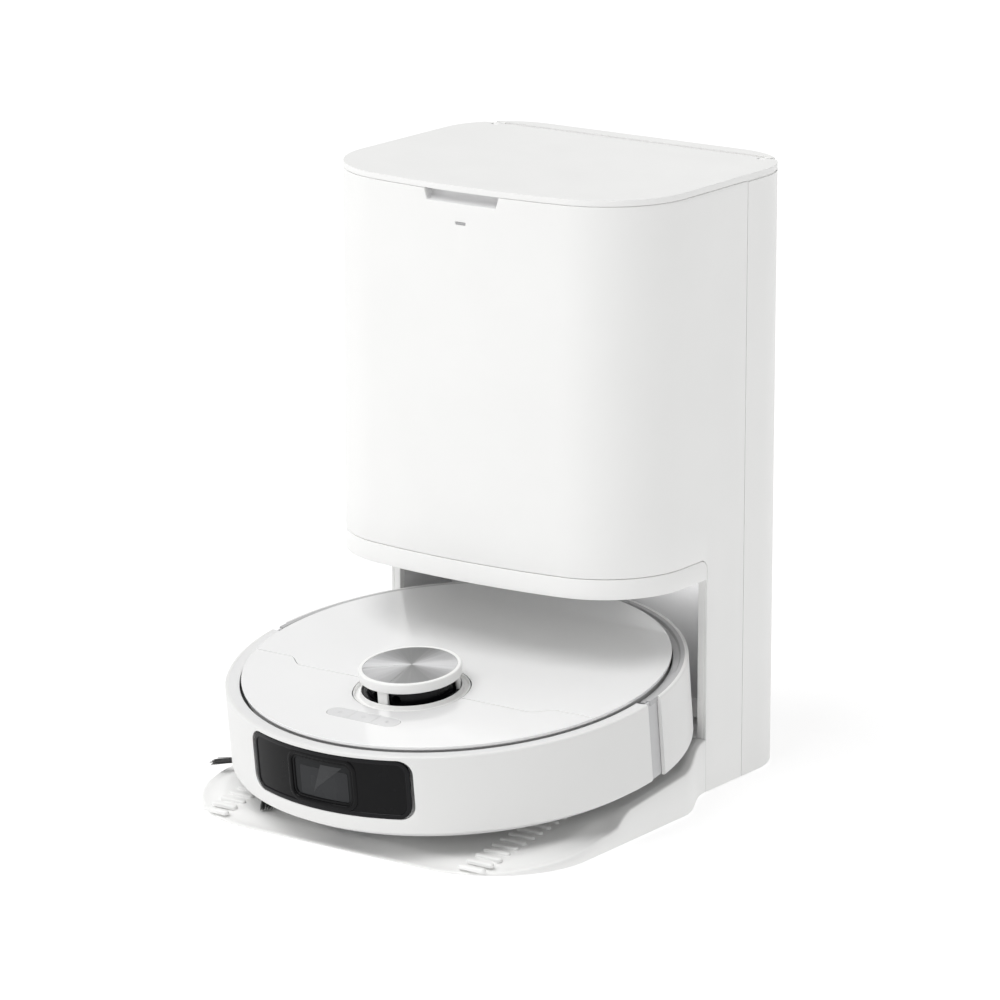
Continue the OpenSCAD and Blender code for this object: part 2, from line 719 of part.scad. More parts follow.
module camera_module() color("black") docked() translate([-30, -robot_r + 9, 32]) difference() {
    cube([60, 5.4, 34]);
    for (x = [16, 44]) translate([x, 3, 17]) rotate([90, 0, 0]) cylinder(r = 6, h = 6);
}

module dust_bin() color("slategray") docked() translate([-72, 8, 48]) difference() {
    cube([144, 51, 26]);
    translate([2, 2, 2]) cube([140, 47, 22]);
    translate([50, -1, 4]) cube([44, 4, 16]);
}

module fan_motor() color("dimgray") docked() translate([-36, 102, 48]) {
    cylinder(r = 28, h = 24);
    translate([20, -12, 4]) cube([60, 24, 16]);
}

module battery() color("darkgray") docked() translate([-62, -108, 15]) cube([124, 44, 34]);

module robot_board() color("seagreen") docked() translate([-80, -112, 53]) {
    cube([160, 60, 1.6]);
    for (p = [[12, 10], [50, 30], [96, 12], [130, 34]]) translate([p[0], p[1], 1.5]) cube([16, 16, 2.4]);
}

// A suspension arm on the side s, with its pivot pin and the wheel's axle
module wheel_arm(s) docked() {
    for (p = [[arm_y, arm_z, 9], [wheel_y, wheel_z, 13]]) translate([s * 103.5, p[0], p[1]])
        rotate([0, 90, 0]) cylinder(r = p[2], h = 9, center = true);
    hull() for (p = [[arm_y, arm_z], [wheel_y, wheel_z]]) translate([s * 103.5, p[0], p[1]])
        rotate([0, 90, 0]) cylinder(r = 8, h = 9, center = true, $fn = 32);
    translate([s * 116, wheel_y, wheel_z]) rotate([0, 90, 0]) cylinder(r = 3, h = 20, center = true);
    translate([s * 99, arm_y, arm_z]) rotate([0, 90, 0]) cylinder(r = 3, h = 14, center = true);
}

module wheel_hub(s) docked() translate([s * wheel_x, wheel_y, wheel_z]) rotate([0, 90, 0]) difference() {
    cylinder(r = wheel_r - 6, h = wheel_w - 2, center = true);
    cylinder(r = 3 + run_gap, h = 40, center = true);
    for (a = [0 : 60 : 300]) rotate([0, 0, a]) translate([18, 0, s * 8]) cylinder(r = 5, h = 6, center = true);
}

module wheel_tyre(s) docked() translate([s * wheel_x, wheel_y, wheel_z]) rotate([0, 90, 0]) difference() {
    cylinder(r = wheel_r, h = wheel_w, center = true);
    cylinder(r = wheel_r - 6, h = wheel_w + 2, center = true);
    for (a = [0 : 15 : 345]) rotate([0, 0, a]) translate([wheel_r, 0, 0]) cube([5, 3, 40], center = true);
}

module wheel_arm_left() color("dimgray") wheel_arm(-1);

module wheel_arm_right() color("dimgray") wheel_arm(1);

module wheel_left() color("gray") wheel_hub(-1);

module wheel_right() color("gray") wheel_hub(1);

module tyre_left() color("darkslategray") wheel_tyre(-1);

module tyre_right() color("darkslategray") wheel_tyre(1);

module caster_fork() color("dimgray") docked() translate([0, caster_y, 0]) {
    translate([0, 0, 26]) cylinder(r = 4, h = 16);
    translate([0, 0, 25.5]) cylinder(r = 14, h = 4);
    for (s = [-1, 1]) translate([s * 9.8 - 1.5, trail - 5, caster_z - 4]) cube([3, 9, 20]);
    translate([0, trail, caster_z]) rotate([0, 90, 0]) cylinder(r = 2, h = 20, center = true);
}

module caster_wheel() color("silver") docked() translate([0, caster_y + trail, caster_z]) rotate([0, 90, 0])
    difference() {
        cylinder(r = caster_r, h = 15, center = true);
        cylinder(r = 2 + run_gap, h = 20, center = true);
    }

module main_brush() color("dimgray") docked() translate([0, brush_y, brush_r]) rotate([0, 90, 0]) {
    cylinder(r = 13, h = 164, center = true);
    cylinder(r = 4, h = 183, center = true);
    for (a = [0 : 60 : 300], s = [-1, 1]) rotate([0, 0, a + 15 * s]) translate([12, -1.1, s > 0 ? 0 : -82])
        cube([brush_r - 12.3, 2.2, 82]);
}

module brush_guard() color("gray") docked() translate([0, brush_y, 7.6]) difference() {
    translate([-92, -24, 0]) cube([184, 48, 3]);
    translate([-84, -20.5, -1]) cube([168, 41, 5]);
}

module side_brush() color("lightgray") docked() translate([hub_x, hub_y, 0]) {
    translate([0, 0, 4]) cylinder(r = 11, h = 5.6);
    translate([0, 0, 9]) cylinder(r = 3, h = 8);
    for (a = [0, 120, 240]) rotate([0, 0, a + 180]) translate([8, -3, 4.2]) cube([16, 6, 3.6]);
}

module side_bristles() color("black") docked() translate([hub_x, hub_y, 0])
    for (a = [0, 120, 240]) rotate([0, 0, a + 180]) translate([24.1, -2.4, 4.4]) cube([side_brush_r - 24.1, 4.8, 2.8]);

module mop_carriage() color("darkgray") docked() difference() {
    union() {
        translate([-86, mop_y - 24, 31.5]) cube([172, 48, 8]);
        mop_places() translate([0, 0, 24]) cylinder(r = 13, h = 10);
    }
    mop_places() cylinder(r = 5 + run_gap, h = 60);
}

module mop_disc(s) docked() translate([s * mop_x, mop_y, 0]) {
    translate([0, 0, 7]) cylinder(r = mop_r - 6, h = 3.6);
    translate([0, 0, 10]) cylinder(r = 5, h = 26);
}

module mop_pad(s) docked() translate([s * mop_x, mop_y, 0]) cylinder(r = mop_r, h = 7);

module mop_plate_left() color("gray") mop_disc(-1);

module mop_plate_right() color("gray") mop_disc(1);

module mop_pad_left() color("slategray") mop_pad(-1);

module mop_pad_right() color("slategray") mop_pad(1);

tray();
washboard();
outer_skin();
rear_shell();
trim_frame();
bay_liner();
tank_tub();
lid();
hinge_pins();
clean_tank();
clean_tank_cap();
clean_tank_handle();
dirty_tank();
dirty_tank_cap();
dirty_tank_handle();
status_lens();
charging_contacts();
pumps();
dryer_fan();
station_board();
power_supply();
power_inlet();
rubber_feet();
hoses();
chassis();
side_shell();
top_plate();
rear_cover();
turret_base();
turret_cap();
cap_disc();
lidar_rotor();
bumper();
bumper_window();
camera_module();
button_left();
button_centre();
button_right();
dust_bin();
fan_motor();
battery();
robot_board();
wheel_arm_left();
wheel_arm_right();
wheel_left();
wheel_right();
tyre_left();
tyre_right();
caster_fork();
caster_wheel();
main_brush();
brush_guard();
side_brush();
side_bristles();
mop_carriage();
mop_plate_left();
mop_plate_right();
mop_pad_left();
mop_pad_right();
robot_contacts();
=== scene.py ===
import json
import random
from math import acos, asin, atan2, copysign, cos, hypot, pi, radians, sin, sqrt, tan, tau

import bmesh
import bpy
from mathutils import Matrix, Vector
from mathutils.geometry import tessellate_polygon


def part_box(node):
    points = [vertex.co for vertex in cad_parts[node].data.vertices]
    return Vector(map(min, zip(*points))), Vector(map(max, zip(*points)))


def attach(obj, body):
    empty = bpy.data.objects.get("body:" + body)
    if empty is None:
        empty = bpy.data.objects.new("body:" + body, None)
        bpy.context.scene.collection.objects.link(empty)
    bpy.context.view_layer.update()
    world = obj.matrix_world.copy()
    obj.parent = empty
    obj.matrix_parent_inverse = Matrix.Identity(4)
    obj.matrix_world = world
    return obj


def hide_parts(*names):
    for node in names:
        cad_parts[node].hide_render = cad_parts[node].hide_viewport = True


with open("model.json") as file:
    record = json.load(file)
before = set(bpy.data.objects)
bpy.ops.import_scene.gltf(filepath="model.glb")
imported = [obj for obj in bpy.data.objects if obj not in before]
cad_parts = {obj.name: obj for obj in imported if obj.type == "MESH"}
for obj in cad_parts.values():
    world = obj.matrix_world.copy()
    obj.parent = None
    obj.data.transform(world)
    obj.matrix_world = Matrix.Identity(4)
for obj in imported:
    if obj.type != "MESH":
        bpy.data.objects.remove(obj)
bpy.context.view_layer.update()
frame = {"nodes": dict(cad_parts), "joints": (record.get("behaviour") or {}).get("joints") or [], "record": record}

SLOTS = {m["slot"]: m for m in frame["record"]["materials"]}
NODE_SLOT = {p["node"]: p["material_slot"] for p in frame["record"]["subparts"]}
JOINTS = {j["name"]: j for j in frame["joints"]}
NODE_BODY = {n: b for b, nodes in frame["record"]["behaviour"]["bodies"].items() for n in nodes}
X, Y, Z = 0, 1, 2
LOW, HIGH = 0, 1
MM = 0.001

random.seed(7)


def reach(node, end, axis):
    """How far a CAD node reaches along an axis, in millimetres."""
    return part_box(node)[end][axis] / MM


def shift(x, y, z):
    return Matrix.Translation((x, y, z))


def spin(degrees, axis="Z"):
    return Matrix.Rotation(radians(degrees), 4, axis)


# ---- sizes, in millimetres, from the frame
BODY_HW = reach("lid", HIGH, X)
FACE_Y = reach("lid", LOW, Y)
BACK_Y = reach("rear_shell", HIGH, Y)
LID_TOP = reach("lid", HIGH, Z)
BASE_Z = reach("outer_skin", LOW, Z)
SPLIT_Y = reach("rear_shell", LOW, Y)
STRIP_Z = reach("trim_frame", HIGH, Z) + 0.4
SOFFIT_Z = reach("bay_liner", HIGH, Z) + 0.3
BAY_HW = BODY_HW - 8.4
TRAY_HW = reach("tray", HIGH, X)
TRAY_FRONT = reach("tray", LOW, Y)
BAY_BACK_Y = reach("tray", HIGH, Y)

# The robot's own frame: centre at x = y = 0, running plane at z = 0, carried to where it is docked
PLATE_H = 79
TURRET_Y = 56.9
LIFT_AXIS = Vector(JOINTS["rear_cover_lift"]["axis"])
PITCH = atan2(-LIFT_AXIS.y, LIFT_AXIS.z)
TURRET_AT = Vector(JOINTS["lidar_spin"]["pos_m"]) / MM
TILT = Matrix.Rotation(PITCH, 4, "X")
DOCKED = Matrix.Translation(TURRET_AT) @ TILT @ shift(0, TURRET_Y, -PLATE_H - 1)
ROBOT_Y = (DOCKED @ Vector((0, 0, PLATE_H))).y
ROBOT_R = reach("bumper", HIGH, X)


# ---- materials
class Graph:
    """A material's node graph, with short calls for the nodes that the finishes share."""

    def __init__(self, name, world=False):
        self.owner = bpy.data.worlds.new(name) if world else bpy.data.materials.new(name)
        self.owner.use_nodes = True
        self.nodes = self.owner.node_tree.nodes
        self.links = self.owner.node_tree.links
        self.shader = self.nodes["Background" if world else "Principled BSDF"]
        self.place = self.add("ShaderNodeTexCoord").outputs["Generated" if world else "Object"]

    def plug(self, socket, value):
        """Links another node's output to a socket, or sets the socket's constant."""
        if isinstance(value, bpy.types.NodeSocket):
            self.links.new(value, socket)
        else:
            socket.default_value = value

    def feed(self, node, values):
        """Named values go to a node's inputs, or else to its settings."""
        for name, value in values.items():
            label = name.replace("_", " ")
            if label in node.inputs:
                self.plug(node.inputs[label], value)
            else:
                setattr(node, name, value)
        return node

    def add(self, kind, **values):
        return self.feed(self.nodes.new(kind), values)

    def set(self, **values):
        self.feed(self.shader, values)

    def compute(self, kind, operation, values):
        """A calculation on values, given in the order of the node's inputs."""
        node = self.add(kind, operation=operation)
        for socket, value in zip(node.inputs, values):
            self.plug(socket, value)
        return node.outputs

    def math(self, operation, *values):
        return self.compute("ShaderNodeMath", operation, values)["Value"]

    def vector(self, operation, *values):
        return self.compute("ShaderNodeVectorMath", operation, values)

    def noise(self, scale, detail=3.0, where=None):
        where = where or self.place
        return self.add("ShaderNodeTexNoise", Scale=scale, Detail=detail, Vector=where).outputs["Fac"]

    def wave(self, scale, bands, distort):
        node = self.add("ShaderNodeTexWave", Scale=scale, Distortion=distort, bands_direction=bands)
        self.feed(node, {"Vector": self.place})
        return node.outputs["Fac"]

    def span(self, value, low, high, start=0.3, end=0.7):
        """The range start..end of a value, carried to low..high."""
        ends = {"From_Min": start, "From_Max": end, "To_Min": low, "To_Max": high}
        return self.add("ShaderNodeMapRange", Value=value, **ends).outputs["Result"]

    def blend(self, factor, first, second, how="MIX"):
        node = self.add("ShaderNodeMix", data_type="RGBA", blend_type=how)
        return self.feed(node, {"Factor": factor, "A": first, "B": second}).outputs["Result"]

    def bump(self, height, distance, strength=1.0):
        node = self.add("ShaderNodeBump", Strength=strength, Distance=distance, Height=height)
        return node.outputs["Normal"]

    def apart(self, vector):
        return self.add("ShaderNodeSeparateXYZ", Vector=vector).outputs

    def together(self, x, y=0.0, z=0.0):
        return self.add("ShaderNodeCombineXYZ", X=x, Y=y, Z=z).outputs["Vector"]


def tone(colour, factor=1):
    return (*(min(1.0, c * factor) for c in colour[:3]), 1.0)


def moulded(name, colour, rough, grain, shade=0.02, pitch=1800, vary=0.06, wear=0.0, **more):
    """Moulded plastic or paint: a fine grain, patchy gloss, and slightly rubbed edges."""
    g = Graph(name)
    base = g.blend(g.span(g.noise(14, 4), 0, 1), tone(colour, 1 - shade), tone(colour, 1 + shade / 2))
    if wear:
        bevel = g.add("ShaderNodeBevel", samples=4, Radius=0.0008).outputs["Normal"]
        face = g.add("ShaderNodeNewGeometry").outputs["Normal"]
        edge = g.span(g.vector("DOT_PRODUCT", bevel, face)["Value"], wear, 0.0, 0.86, 0.99)
        edge = g.math("MULTIPLY", edge, g.span(g.noise(160, 2), 0.3, 1.0))
        base = g.blend(edge, base, tone(colour, 1.12))
    rough = g.span(g.noise(46, 5), rough - vary, rough + vary)
    g.set(Base_Color=base, Roughness=rough, Normal=g.bump(g.noise(pitch, 2), grain), **more)
    return g.owner


def brushed_disc(colour):
    """Spun metal: rings and a tangent round the turret's axis, so that the highlight opens into rays; bright and
    dark bow-shaped lobes are also painted into the base colour as a highlight.
    """
    g = Graph("brushed_disc")
    painted_lobe_turn, painted_lobe_noise, ring_pitch = 0.3, 1.2, 5200.0
    centre = DOCKED @ Vector((0, -TURRET_Y, PLATE_H)) * MM
    x, y, _ = g.apart(g.vector("SUBTRACT", g.place, centre)["Vector"])
    radius = g.math("SQRT", g.math("ADD", g.math("MULTIPLY", x, x), g.math("MULTIPLY", y, y)))
    rings = g.noise(1.0, 5, g.together(g.math("MULTIPLY", radius, ring_pitch)))
    angle = g.math("ARCTAN2", y, x)
    rays = g.noise(9.0, 4, g.together(g.math("SINE", angle), g.math("COSINE", angle)))
    # Two bright and two dark lobes round the disc's centre, put into the base colour: a painted highlight
    painted_lobes = g.math("SINE", g.math("ADD", g.math("MULTIPLY", angle, 2.0), painted_lobe_turn))
    uneven = g.math("MULTIPLY", g.math("SUBTRACT", rays, 0.5), painted_lobe_noise)
    painted_lobes = g.span(g.math("ADD", painted_lobes, uneven), 0, 1, -0.9, 1.1)
    painted_highlight = g.blend(painted_lobes, tone(colour, 0.55), tone(colour, 1.25))
    grooves = g.blend(g.span(rings, 0, 1), (0.84, 0.84, 0.84, 1), (1, 1, 1, 1))
    g.set(Base_Color=g.blend(1.0, painted_highlight, grooves, "MULTIPLY"), Roughness=g.span(rays, 0.26, 0.4))
    g.set(Tangent=g.together(g.math("MULTIPLY", y, -1.0), x), Normal=g.bump(rings, 0.000012, 0.7))
    g.set(Metallic=1.0, Anisotropic=0.85)
    return g.owner


def metal(name, colour, rough, along=(40, 40, 1400), dull=0.12):
    """Drawn or turned metal: fine lines one way, a few dull patches."""
    g = Graph(name)
    lines = g.noise(1.0, 4, g.add("ShaderNodeMapping", Scale=along, Vector=g.place).outputs["Vector"])
    patches = g.noise(60, 4)
    base = g.blend(g.span(patches, 0, 1, 0.45, 0.75), colour, tone(colour, 1 - dull))
    rough = g.math("ADD", g.span(lines, rough - 0.06, rough + 0.06), g.span(patches, 0, 0.12, 0.5, 0.8))
    g.set(Base_Color=base, Roughness=rough, Normal=g.bump(lines, 0.000015, 0.6), Metallic=1.0)
    return g.owner


def tank_plastic(name, colour, rough, clear, thin):
    """Tinted see-through plastic with a faint haze and moulding flow."""
    g = Graph(name)
    base = g.blend(g.span(g.noise(24, 5), 0, 1), tone(colour, 0.94), tone(colour, 1.03))
    rough = g.span(g.noise(60, 4), rough, rough + 0.08)
    g.set(Base_Color=base, Roughness=rough, Normal=g.bump(g.noise(900, 2), 0.00001))
    g.set(IOR=1.5, Transmission_Weight=clear, Alpha=thin)
    return g.owner


def tyre_rubber(colour):
    """Matt rubber with dust caught on it."""
    g = Graph("tyre_rubber")
    dust = g.noise(70, 5)
    base = g.blend(g.span(dust, 0, 0.7, 0.5, 0.75), colour, tone(colour, 2.4))
    rough = g.span(dust, 0.72, 0.95)
    g.set(Base_Color=base, Roughness=rough, Normal=g.bump(g.noise(1400, 3), 0.00012))
    return g.owner


def cloth(colour):
    """Looped microfibre: a woven ground under short curly pile, with soft shading between the loops."""
    g = Graph("mop_cloth")
    depth = g.add("ShaderNodeTexVoronoi", Scale=520.0, Vector=g.place).outputs["Distance"]
    weave = g.math("MULTIPLY", g.wave(260, "X", 2.0), g.wave(260, "Y", 2.0))
    ground = g.blend(g.span(g.noise(40, 4), 0, 0.5, 0.5, 0.8), colour, tone(colour, 0.82))
    base = g.blend(g.span(depth, 0.55, 0.0, 0.15, 0.7), ground, tone(colour, 0.55))
    fibres = g.math("MULTIPLY", g.math("ADD", weave, g.noise(1900, 4)), 0.3)
    height = g.math("ADD", g.math("MULTIPLY", depth, -1.0), fibres)
    g.set(Base_Color=base, Normal=g.bump(height, 0.0007), Roughness=0.95)
    g.set(Sheen_Weight=0.5, Sheen_Roughness=0.4, Specular_IOR_Level=0.2)
    return g.owner


def circuit_board(colour):
    """Solder mask with copper tracks under it."""
    g = Graph("circuit_board")
    cells = g.add("ShaderNodeTexVoronoi", distance="CHEBYCHEV", Scale=190.0, Vector=g.place)
    on = g.math("MULTIPLY", g.wave(300, "DIAGONAL", 6.0), cells.outputs["Distance"])
    on = g.span(on, 0, 1, 0.3, 0.36)
    g.set(Base_Color=g.blend(on, colour, tone(colour, 1.9)), Roughness=g.span(g.noise(80), 0.28, 0.42))
    g.set(Normal=g.bump(on, 0.00004), Coat_Weight=0.5, Coat_Roughness=0.15)
    return g.owner


def smoked_glass(name, colour):
    """Dark glass: a black body under a thin clear coat, faintly smudged."""
    g = Graph(name)
    smudge = g.noise(30, 5)
    base = g.blend(g.span(smudge, 0, 1, 0.4, 0.8), colour, tone(colour, 1.25))
    g.set(Base_Color=base, Roughness=g.span(smudge, 0.2, 0.3), Coat_Roughness=g.span(smudge, 0.015, 0.06))
    g.set(Normal=g.bump(g.noise(20, 1), 0.00002, 0.3), Coat_Weight=0.1, Specular_IOR_Level=0.07)
    return g.owner


# Each finish has the frame's slot that it goes under, a factor on the slot's colour or a colour of
# its own, its roughness, its grain in micrometres, and what else it sets
MICRON = 0.000001
POLISH = {"pitch": 240, "vary": 0.03, "Coat_Roughness": 0.03}
MOULDED = {
    "satin_white": ("satin_white", 1, 0.42, 30, {"shade": 0.012, "Specular_IOR_Level": 0.45}),
    # The bumper's white is the satin white made darker: painted shade on the bumper and the robot's side walls
    "bumper_white_painted_shade": ("satin_white", 0.89, 0.4, 30, {"shade": 0.012, "Specular_IOR_Level": 0.4}),
    "gloss_white": ("gloss_white", 1, 0.16, 4, {"shade": 0.008, "Coat_Weight": 1.0, **POLISH}),
    "key_white": ("gloss_white", (0.76, 0.76, 0.765), 0.22, 10, {"shade": 0.01, "Coat_Weight": 0.5}),
    "trim_grey": ("trim_grey", 1, 0.5, 40, {}),
    "scoop_grey": ("trim_grey", (0.82, 0.82, 0.825), 0.5, 40, {}),
    "bay_grey": ("bay_grey", 1, 0.6, 60, {"shade": 0.03}),
    "liner_grey": ("bay_grey", (0.84, 0.84, 0.845), 0.55, 50, {}),
    "strip_grey": ("bay_grey", (0.6, 0.6, 0.605), 0.5, 40, {}),
    "rim_grey": ("bay_grey", (0.5, 0.5, 0.505), 0.4, 40, {}),
    "dark_plastic": ("dark_plastic", 1, 0.45, 50, {"shade": 0.08, "wear": 0.35}),
    "mid_plastic": ("mid_plastic", 1, 0.48, 50, {"shade": 0.05, "wear": 0.3}),
    "faint_print": ("mid_plastic", (0.5, 0.5, 0.51), 0.4, 10, {}),
    "black_gloss": ("black_gloss", 0.6, 0.14, 3, {
        "shade": 0.1, "Coat_Weight": 0.12, "Specular_IOR_Level": 0.12, **POLISH}),
    "lens_white": ("lens_white", 1, 0.25, 10, {"Subsurface_Weight": 0.2}),
    "lens_idle": ("lens_white", (0.4, 0.4, 0.405), 0.2, 10, {"Coat_Weight": 0.4}),
    "rubber_black": ("rubber_black", 1, 0.82, 120, {"pitch": 900, "shade": 0.15, "vary": 0.1}),
    "brush_rubber": ("brush_rubber", 1, 0.6, 100, {"pitch": 700, "shade": 0.12, "wear": 0.3}),
    "bristle": ("bristle", 1, 0.35, 20, {"shade": 0.2, "vary": 0.1, "Sheen_Weight": 0.2}),
}
GLASS = {
    "window_glass": (0.006, 0.006, 0.0065),
    "camera_glass": (0.017, 0.018, 0.019),
    "camera_inner": (0.032, 0.033, 0.035),
    # camera_glint: a lighter wedge on the camera glass, a painted reflection
    "camera_glint": (0.05, 0.051, 0.053),
}
OTHERS = {
    "steel": (metal, 0.3),
    "contact_metal": (metal, 0.24, (900, 60, 60), 0.08),
    "psu_metal": (metal, 0.38, (30, 30, 700)),
    "clear_tank": (tank_plastic, 0.08, 0.9, 0.55),
    "dark_tank": (tank_plastic, 0.12, 0.85, 0.72),
}
SINGLE = {
    "brushed_disc": brushed_disc,
    "tyre_rubber": tyre_rubber,
    "mop_cloth": cloth,
    "circuit_board": circuit_board,
}


def make_materials():
    colour = {name: tone(m["base_color"]) for name, m in SLOTS.items()}
    made = {name: smoked_glass(name, tone(own)) for name, own in GLASS.items()}
    for name, (slot, own, rough, grain, more) in MOULDED.items():
        base = tone(own) if isinstance(own, tuple) else tone(colour[slot], own)
        made[name] = moulded(name, base, rough, grain * MICRON, **more)
    made.update({name: build(name, colour[name], *look) for name, (build, *look) in OTHERS.items()})
    made.update({name: build(colour[name]) for name, build in SINGLE.items()})
    return made


MATERIALS = make_materials()


def finish_piece(obj, finish, body, nodes=(), sharp=35):
    obj.data.materials.clear()
    obj.data.materials.append(MATERIALS[finish])
    for face in obj.data.polygons:
        face.use_smooth = True
    obj.data.set_sharp_from_angle(angle=radians(sharp))
    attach(obj, body)
    if nodes:
        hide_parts(*nodes)
    return obj


def apply_modifiers(obj):
    graph = bpy.context.evaluated_depsgraph_get()
    mesh = bpy.data.meshes.new_from_object(obj.evaluated_get(graph))
    obj.modifiers.clear()
    obj.data = mesh


def link(name, mesh):
    obj = bpy.data.objects.new(name, mesh)
    bpy.context.scene.collection.objects.link(obj)
    return obj


def bevelled(obj, width, angle, segments=3):
    """Rounds the edges that are sharper than an angle in degrees."""
    edges = obj.modifiers.new("edges", "BEVEL")
    edges.width, edges.segments = width * MM, segments
    edges.limit_method, edges.angle_limit = "ANGLE", radians(angle)


def thickened(obj, thickness, offset):
    solid = obj.modifiers.new("thickness", "SOLIDIFY")
    solid.thickness, solid.offset = thickness * MM, offset
    return solid


OWN_FINISH = {"bay_liner": "liner_grey"}


def softened(node):
    """A CAD node's own shape, with its sharp edges rounded."""
    mesh = frame["nodes"][node].data.copy()
    work = bmesh.new()
    work.from_mesh(mesh)
    bmesh.ops.remove_doubles(work, verts=work.verts, dist=0.00001)
    bmesh.ops.dissolve_limit(work, angle_limit=radians(0.6), verts=work.verts, edges=work.edges)
    work.to_mesh(mesh)
    work.free()
    obj = link(node + "_shell", mesh)
    bevelled(obj, 0.4, 32, 2)
    apply_modifiers(obj)
    finish_piece(obj, OWN_FINISH.get(node, NODE_SLOT[node]), NODE_BODY[node], [node])
    obj.modifiers.new("normals", "WEIGHTED_NORMAL").keep_sharp = True
    apply_modifiers(obj)


def soften(points, radius, steps=5, guard=0.0):
    """A closed outline with its corners rounded; radius is one number, or one for each corner.
    guard adds points beside each rounding, so that the straight runs are shaded flat."""
    radii = radius if isinstance(radius, (list, tuple)) else [radius] * len(points)
    out = []
    for i, r in enumerate(radii):
        p, a, b = (Vector(points[k % len(points)]) for k in (i, i - 1, i + 1))
        if r <= 0:
            out.append(p)
            continue
        u, v = (a - p).normalized(), (b - p).normalized()
        half = acos(max(-1, min(1, u.dot(v)))) / 2
        run = min(r / tan(half), (a - p).length * 0.499, (b - p).length * 0.499)
        middle = p + (u + v).normalized() * (run / cos(half))
        first, last = p + u * run - middle, p + v * run - middle
        turn = atan2(first.x * last.y - first.y * last.x, first.dot(last))
        if guard:
            out.append(p + u * (run + guard))
        for k in range(steps + 1):
            c, s = cos(turn * k / steps), sin(turn * k / steps)
            out.append(middle + Vector((first.x * c - first.y * s, first.x * s + first.y * c)))
        if guard:
            out.append(p + v * (run + guard))
    return out


def inset(points, depth):
    """A closed outline moved in by depth; outer outlines run anticlockwise and holes clockwise."""
    out = []
    for i, p in enumerate(points):
        p, before, after = Vector(p), Vector(points[i - 1]), Vector(points[(i + 1) % len(points)])
        n0, n1 = (Vector((-run.y, run.x)).normalized() for run in (p - before, after - p))
        out.append(p + (n0 + n1) * (depth / max(0.3, 1 + n0.dot(n1))))
    return out


def oval(x, y, r, n=24):
    return [Vector((x + r * cos(tau * k / n), y + r * sin(tau * k / n))) for k in range(n)]


def box_outline(w, h, r, x=0, y=0, clockwise=False, steps=6):
    corners = [(x + i * w / 2, y + k * h / 2) for i, k in ((-1, -1), (1, -1), (1, 1), (-1, 1))]
    points = soften(corners, r, steps)
    return points[::-1] if clockwise else points


def skin(rows, n, start=0, step=None, closed=True):
    """Faces between rows of n points. Rows begin step points apart, and closed joins their ends."""
    step = step or n
    return [(a + k, a + (k + 1) % n, a + step + (k + 1) % n, a + step + k)
            for a in range(start, start + (rows - 1) * step, step) for k in range(n if closed else n - 1)]


def slab(loops, z0, z1, top=0.5, bottom=0.3, steps=3):
    """A plate between two heights with rounded rims: the first loop is its outline, the others holes."""
    turns = [pi / 2 * k / steps for k in range(steps + 1)]
    levels = [(bottom * 1.4, z0)]
    levels += [(bottom * (1 - sin(t)), z0 + bottom * (1 - cos(t))) for t in turns]
    levels += [(top * (1 - cos(t)), z1 - top + top * sin(t)) for t in turns]
    levels.append((top * 1.4, z1))
    size = sum(len(loop) for loop in loops)
    verts = [(*p, z) for depth, z in levels for loop in loops for p in inset(loop, depth)]
    faces, start = [], 0
    for loop in loops:
        faces += skin(len(levels), len(loop), start, size)
        start += len(loop)
    for level in (0, len(levels) - 1):
        flat = [[Vector((*p, 0)) for p in inset(loop, levels[level][0])] for loop in loops]
        faces += [tuple(level * size + k for k in tri) for tri in tessellate_polygon(flat)]
    return verts, faces


def turned(profile, start=0.0, sweep=360.0, n=160):
    """A closed section of (radius, height) points swept about Z, from the nose, -Y, towards +X."""
    whole = sweep >= 360
    m = len(profile)
    turns = [radians(start + sweep * i / n) for i in range(n if whole else n + 1)]
    verts = [(r * sin(a), -r * cos(a), z) for a in turns for r, z in profile]
    faces = [tuple(v % len(verts) for v in face) for face in skin(n + 1, m)]
    if not whole:
        faces += [tuple(range(m)), tuple(range(n * m, (n + 1) * m))]
    return verts, faces


def heading(path, k):
    """The direction of a path of points at its k-th one."""
    return (Vector(path[min(k + 1, len(path) - 1)]) - Vector(path[max(k - 1, 0)])).normalized()


def joined(*parts):
    verts, faces = [], []
    for part_verts, part_faces in parts:
        faces += [tuple(k + len(verts) for k in face) for face in part_faces]
        verts += list(part_verts)
    return verts, faces


def moved(part, matrix):
    return [matrix @ Vector(v) for v in part[0]], part[1]


def raw_object(name, part, docked=False, weld=False):
    """An object without a finish, made of vertices and faces in millimetres."""
    mesh = bpy.data.meshes.new(name)
    carry = Matrix.Scale(MM, 4) @ (DOCKED if docked else Matrix())
    mesh.from_pydata([carry @ Vector(v) for v in part[0]], [], part[1])
    work = bmesh.new()
    work.from_mesh(mesh)
    if weld:
        bmesh.ops.remove_doubles(work, verts=work.verts, dist=0.000002)
    bmesh.ops.recalc_face_normals(work, faces=work.faces)
    work.to_mesh(mesh)
    work.free()
    return link(name, mesh)


def piece(name, part, finish, body, nodes=(), sharp=35, cutters=(), weld=False, round_off=0):
    """Makes one visible piece. All but the station's are docked; round_off rounds its sharp edges."""
    obj = raw_object(name, part, body != "station", weld)
    for cutter in cutters:
        cut = obj.modifiers.new("cut", "BOOLEAN")
        cut.operation, cut.solver, cut.object = "DIFFERENCE", "EXACT", cutter
    if round_off:
        bevelled(obj, round_off, 50)
    if cutters or round_off:
        apply_modifiers(obj)
        for cutter in cutters:
            bpy.data.objects.remove(cutter)
    return finish_piece(obj, finish, body, nodes, sharp)


def cutter(outline, low, high, matrix=None, docked=True):
    """A prism over an outline, to be cut out of a piece."""
    prism = slab([outline], low, high, 0.01, 0.01, 1)
    return raw_object("cutter", moved(prism, matrix) if matrix else prism, docked)


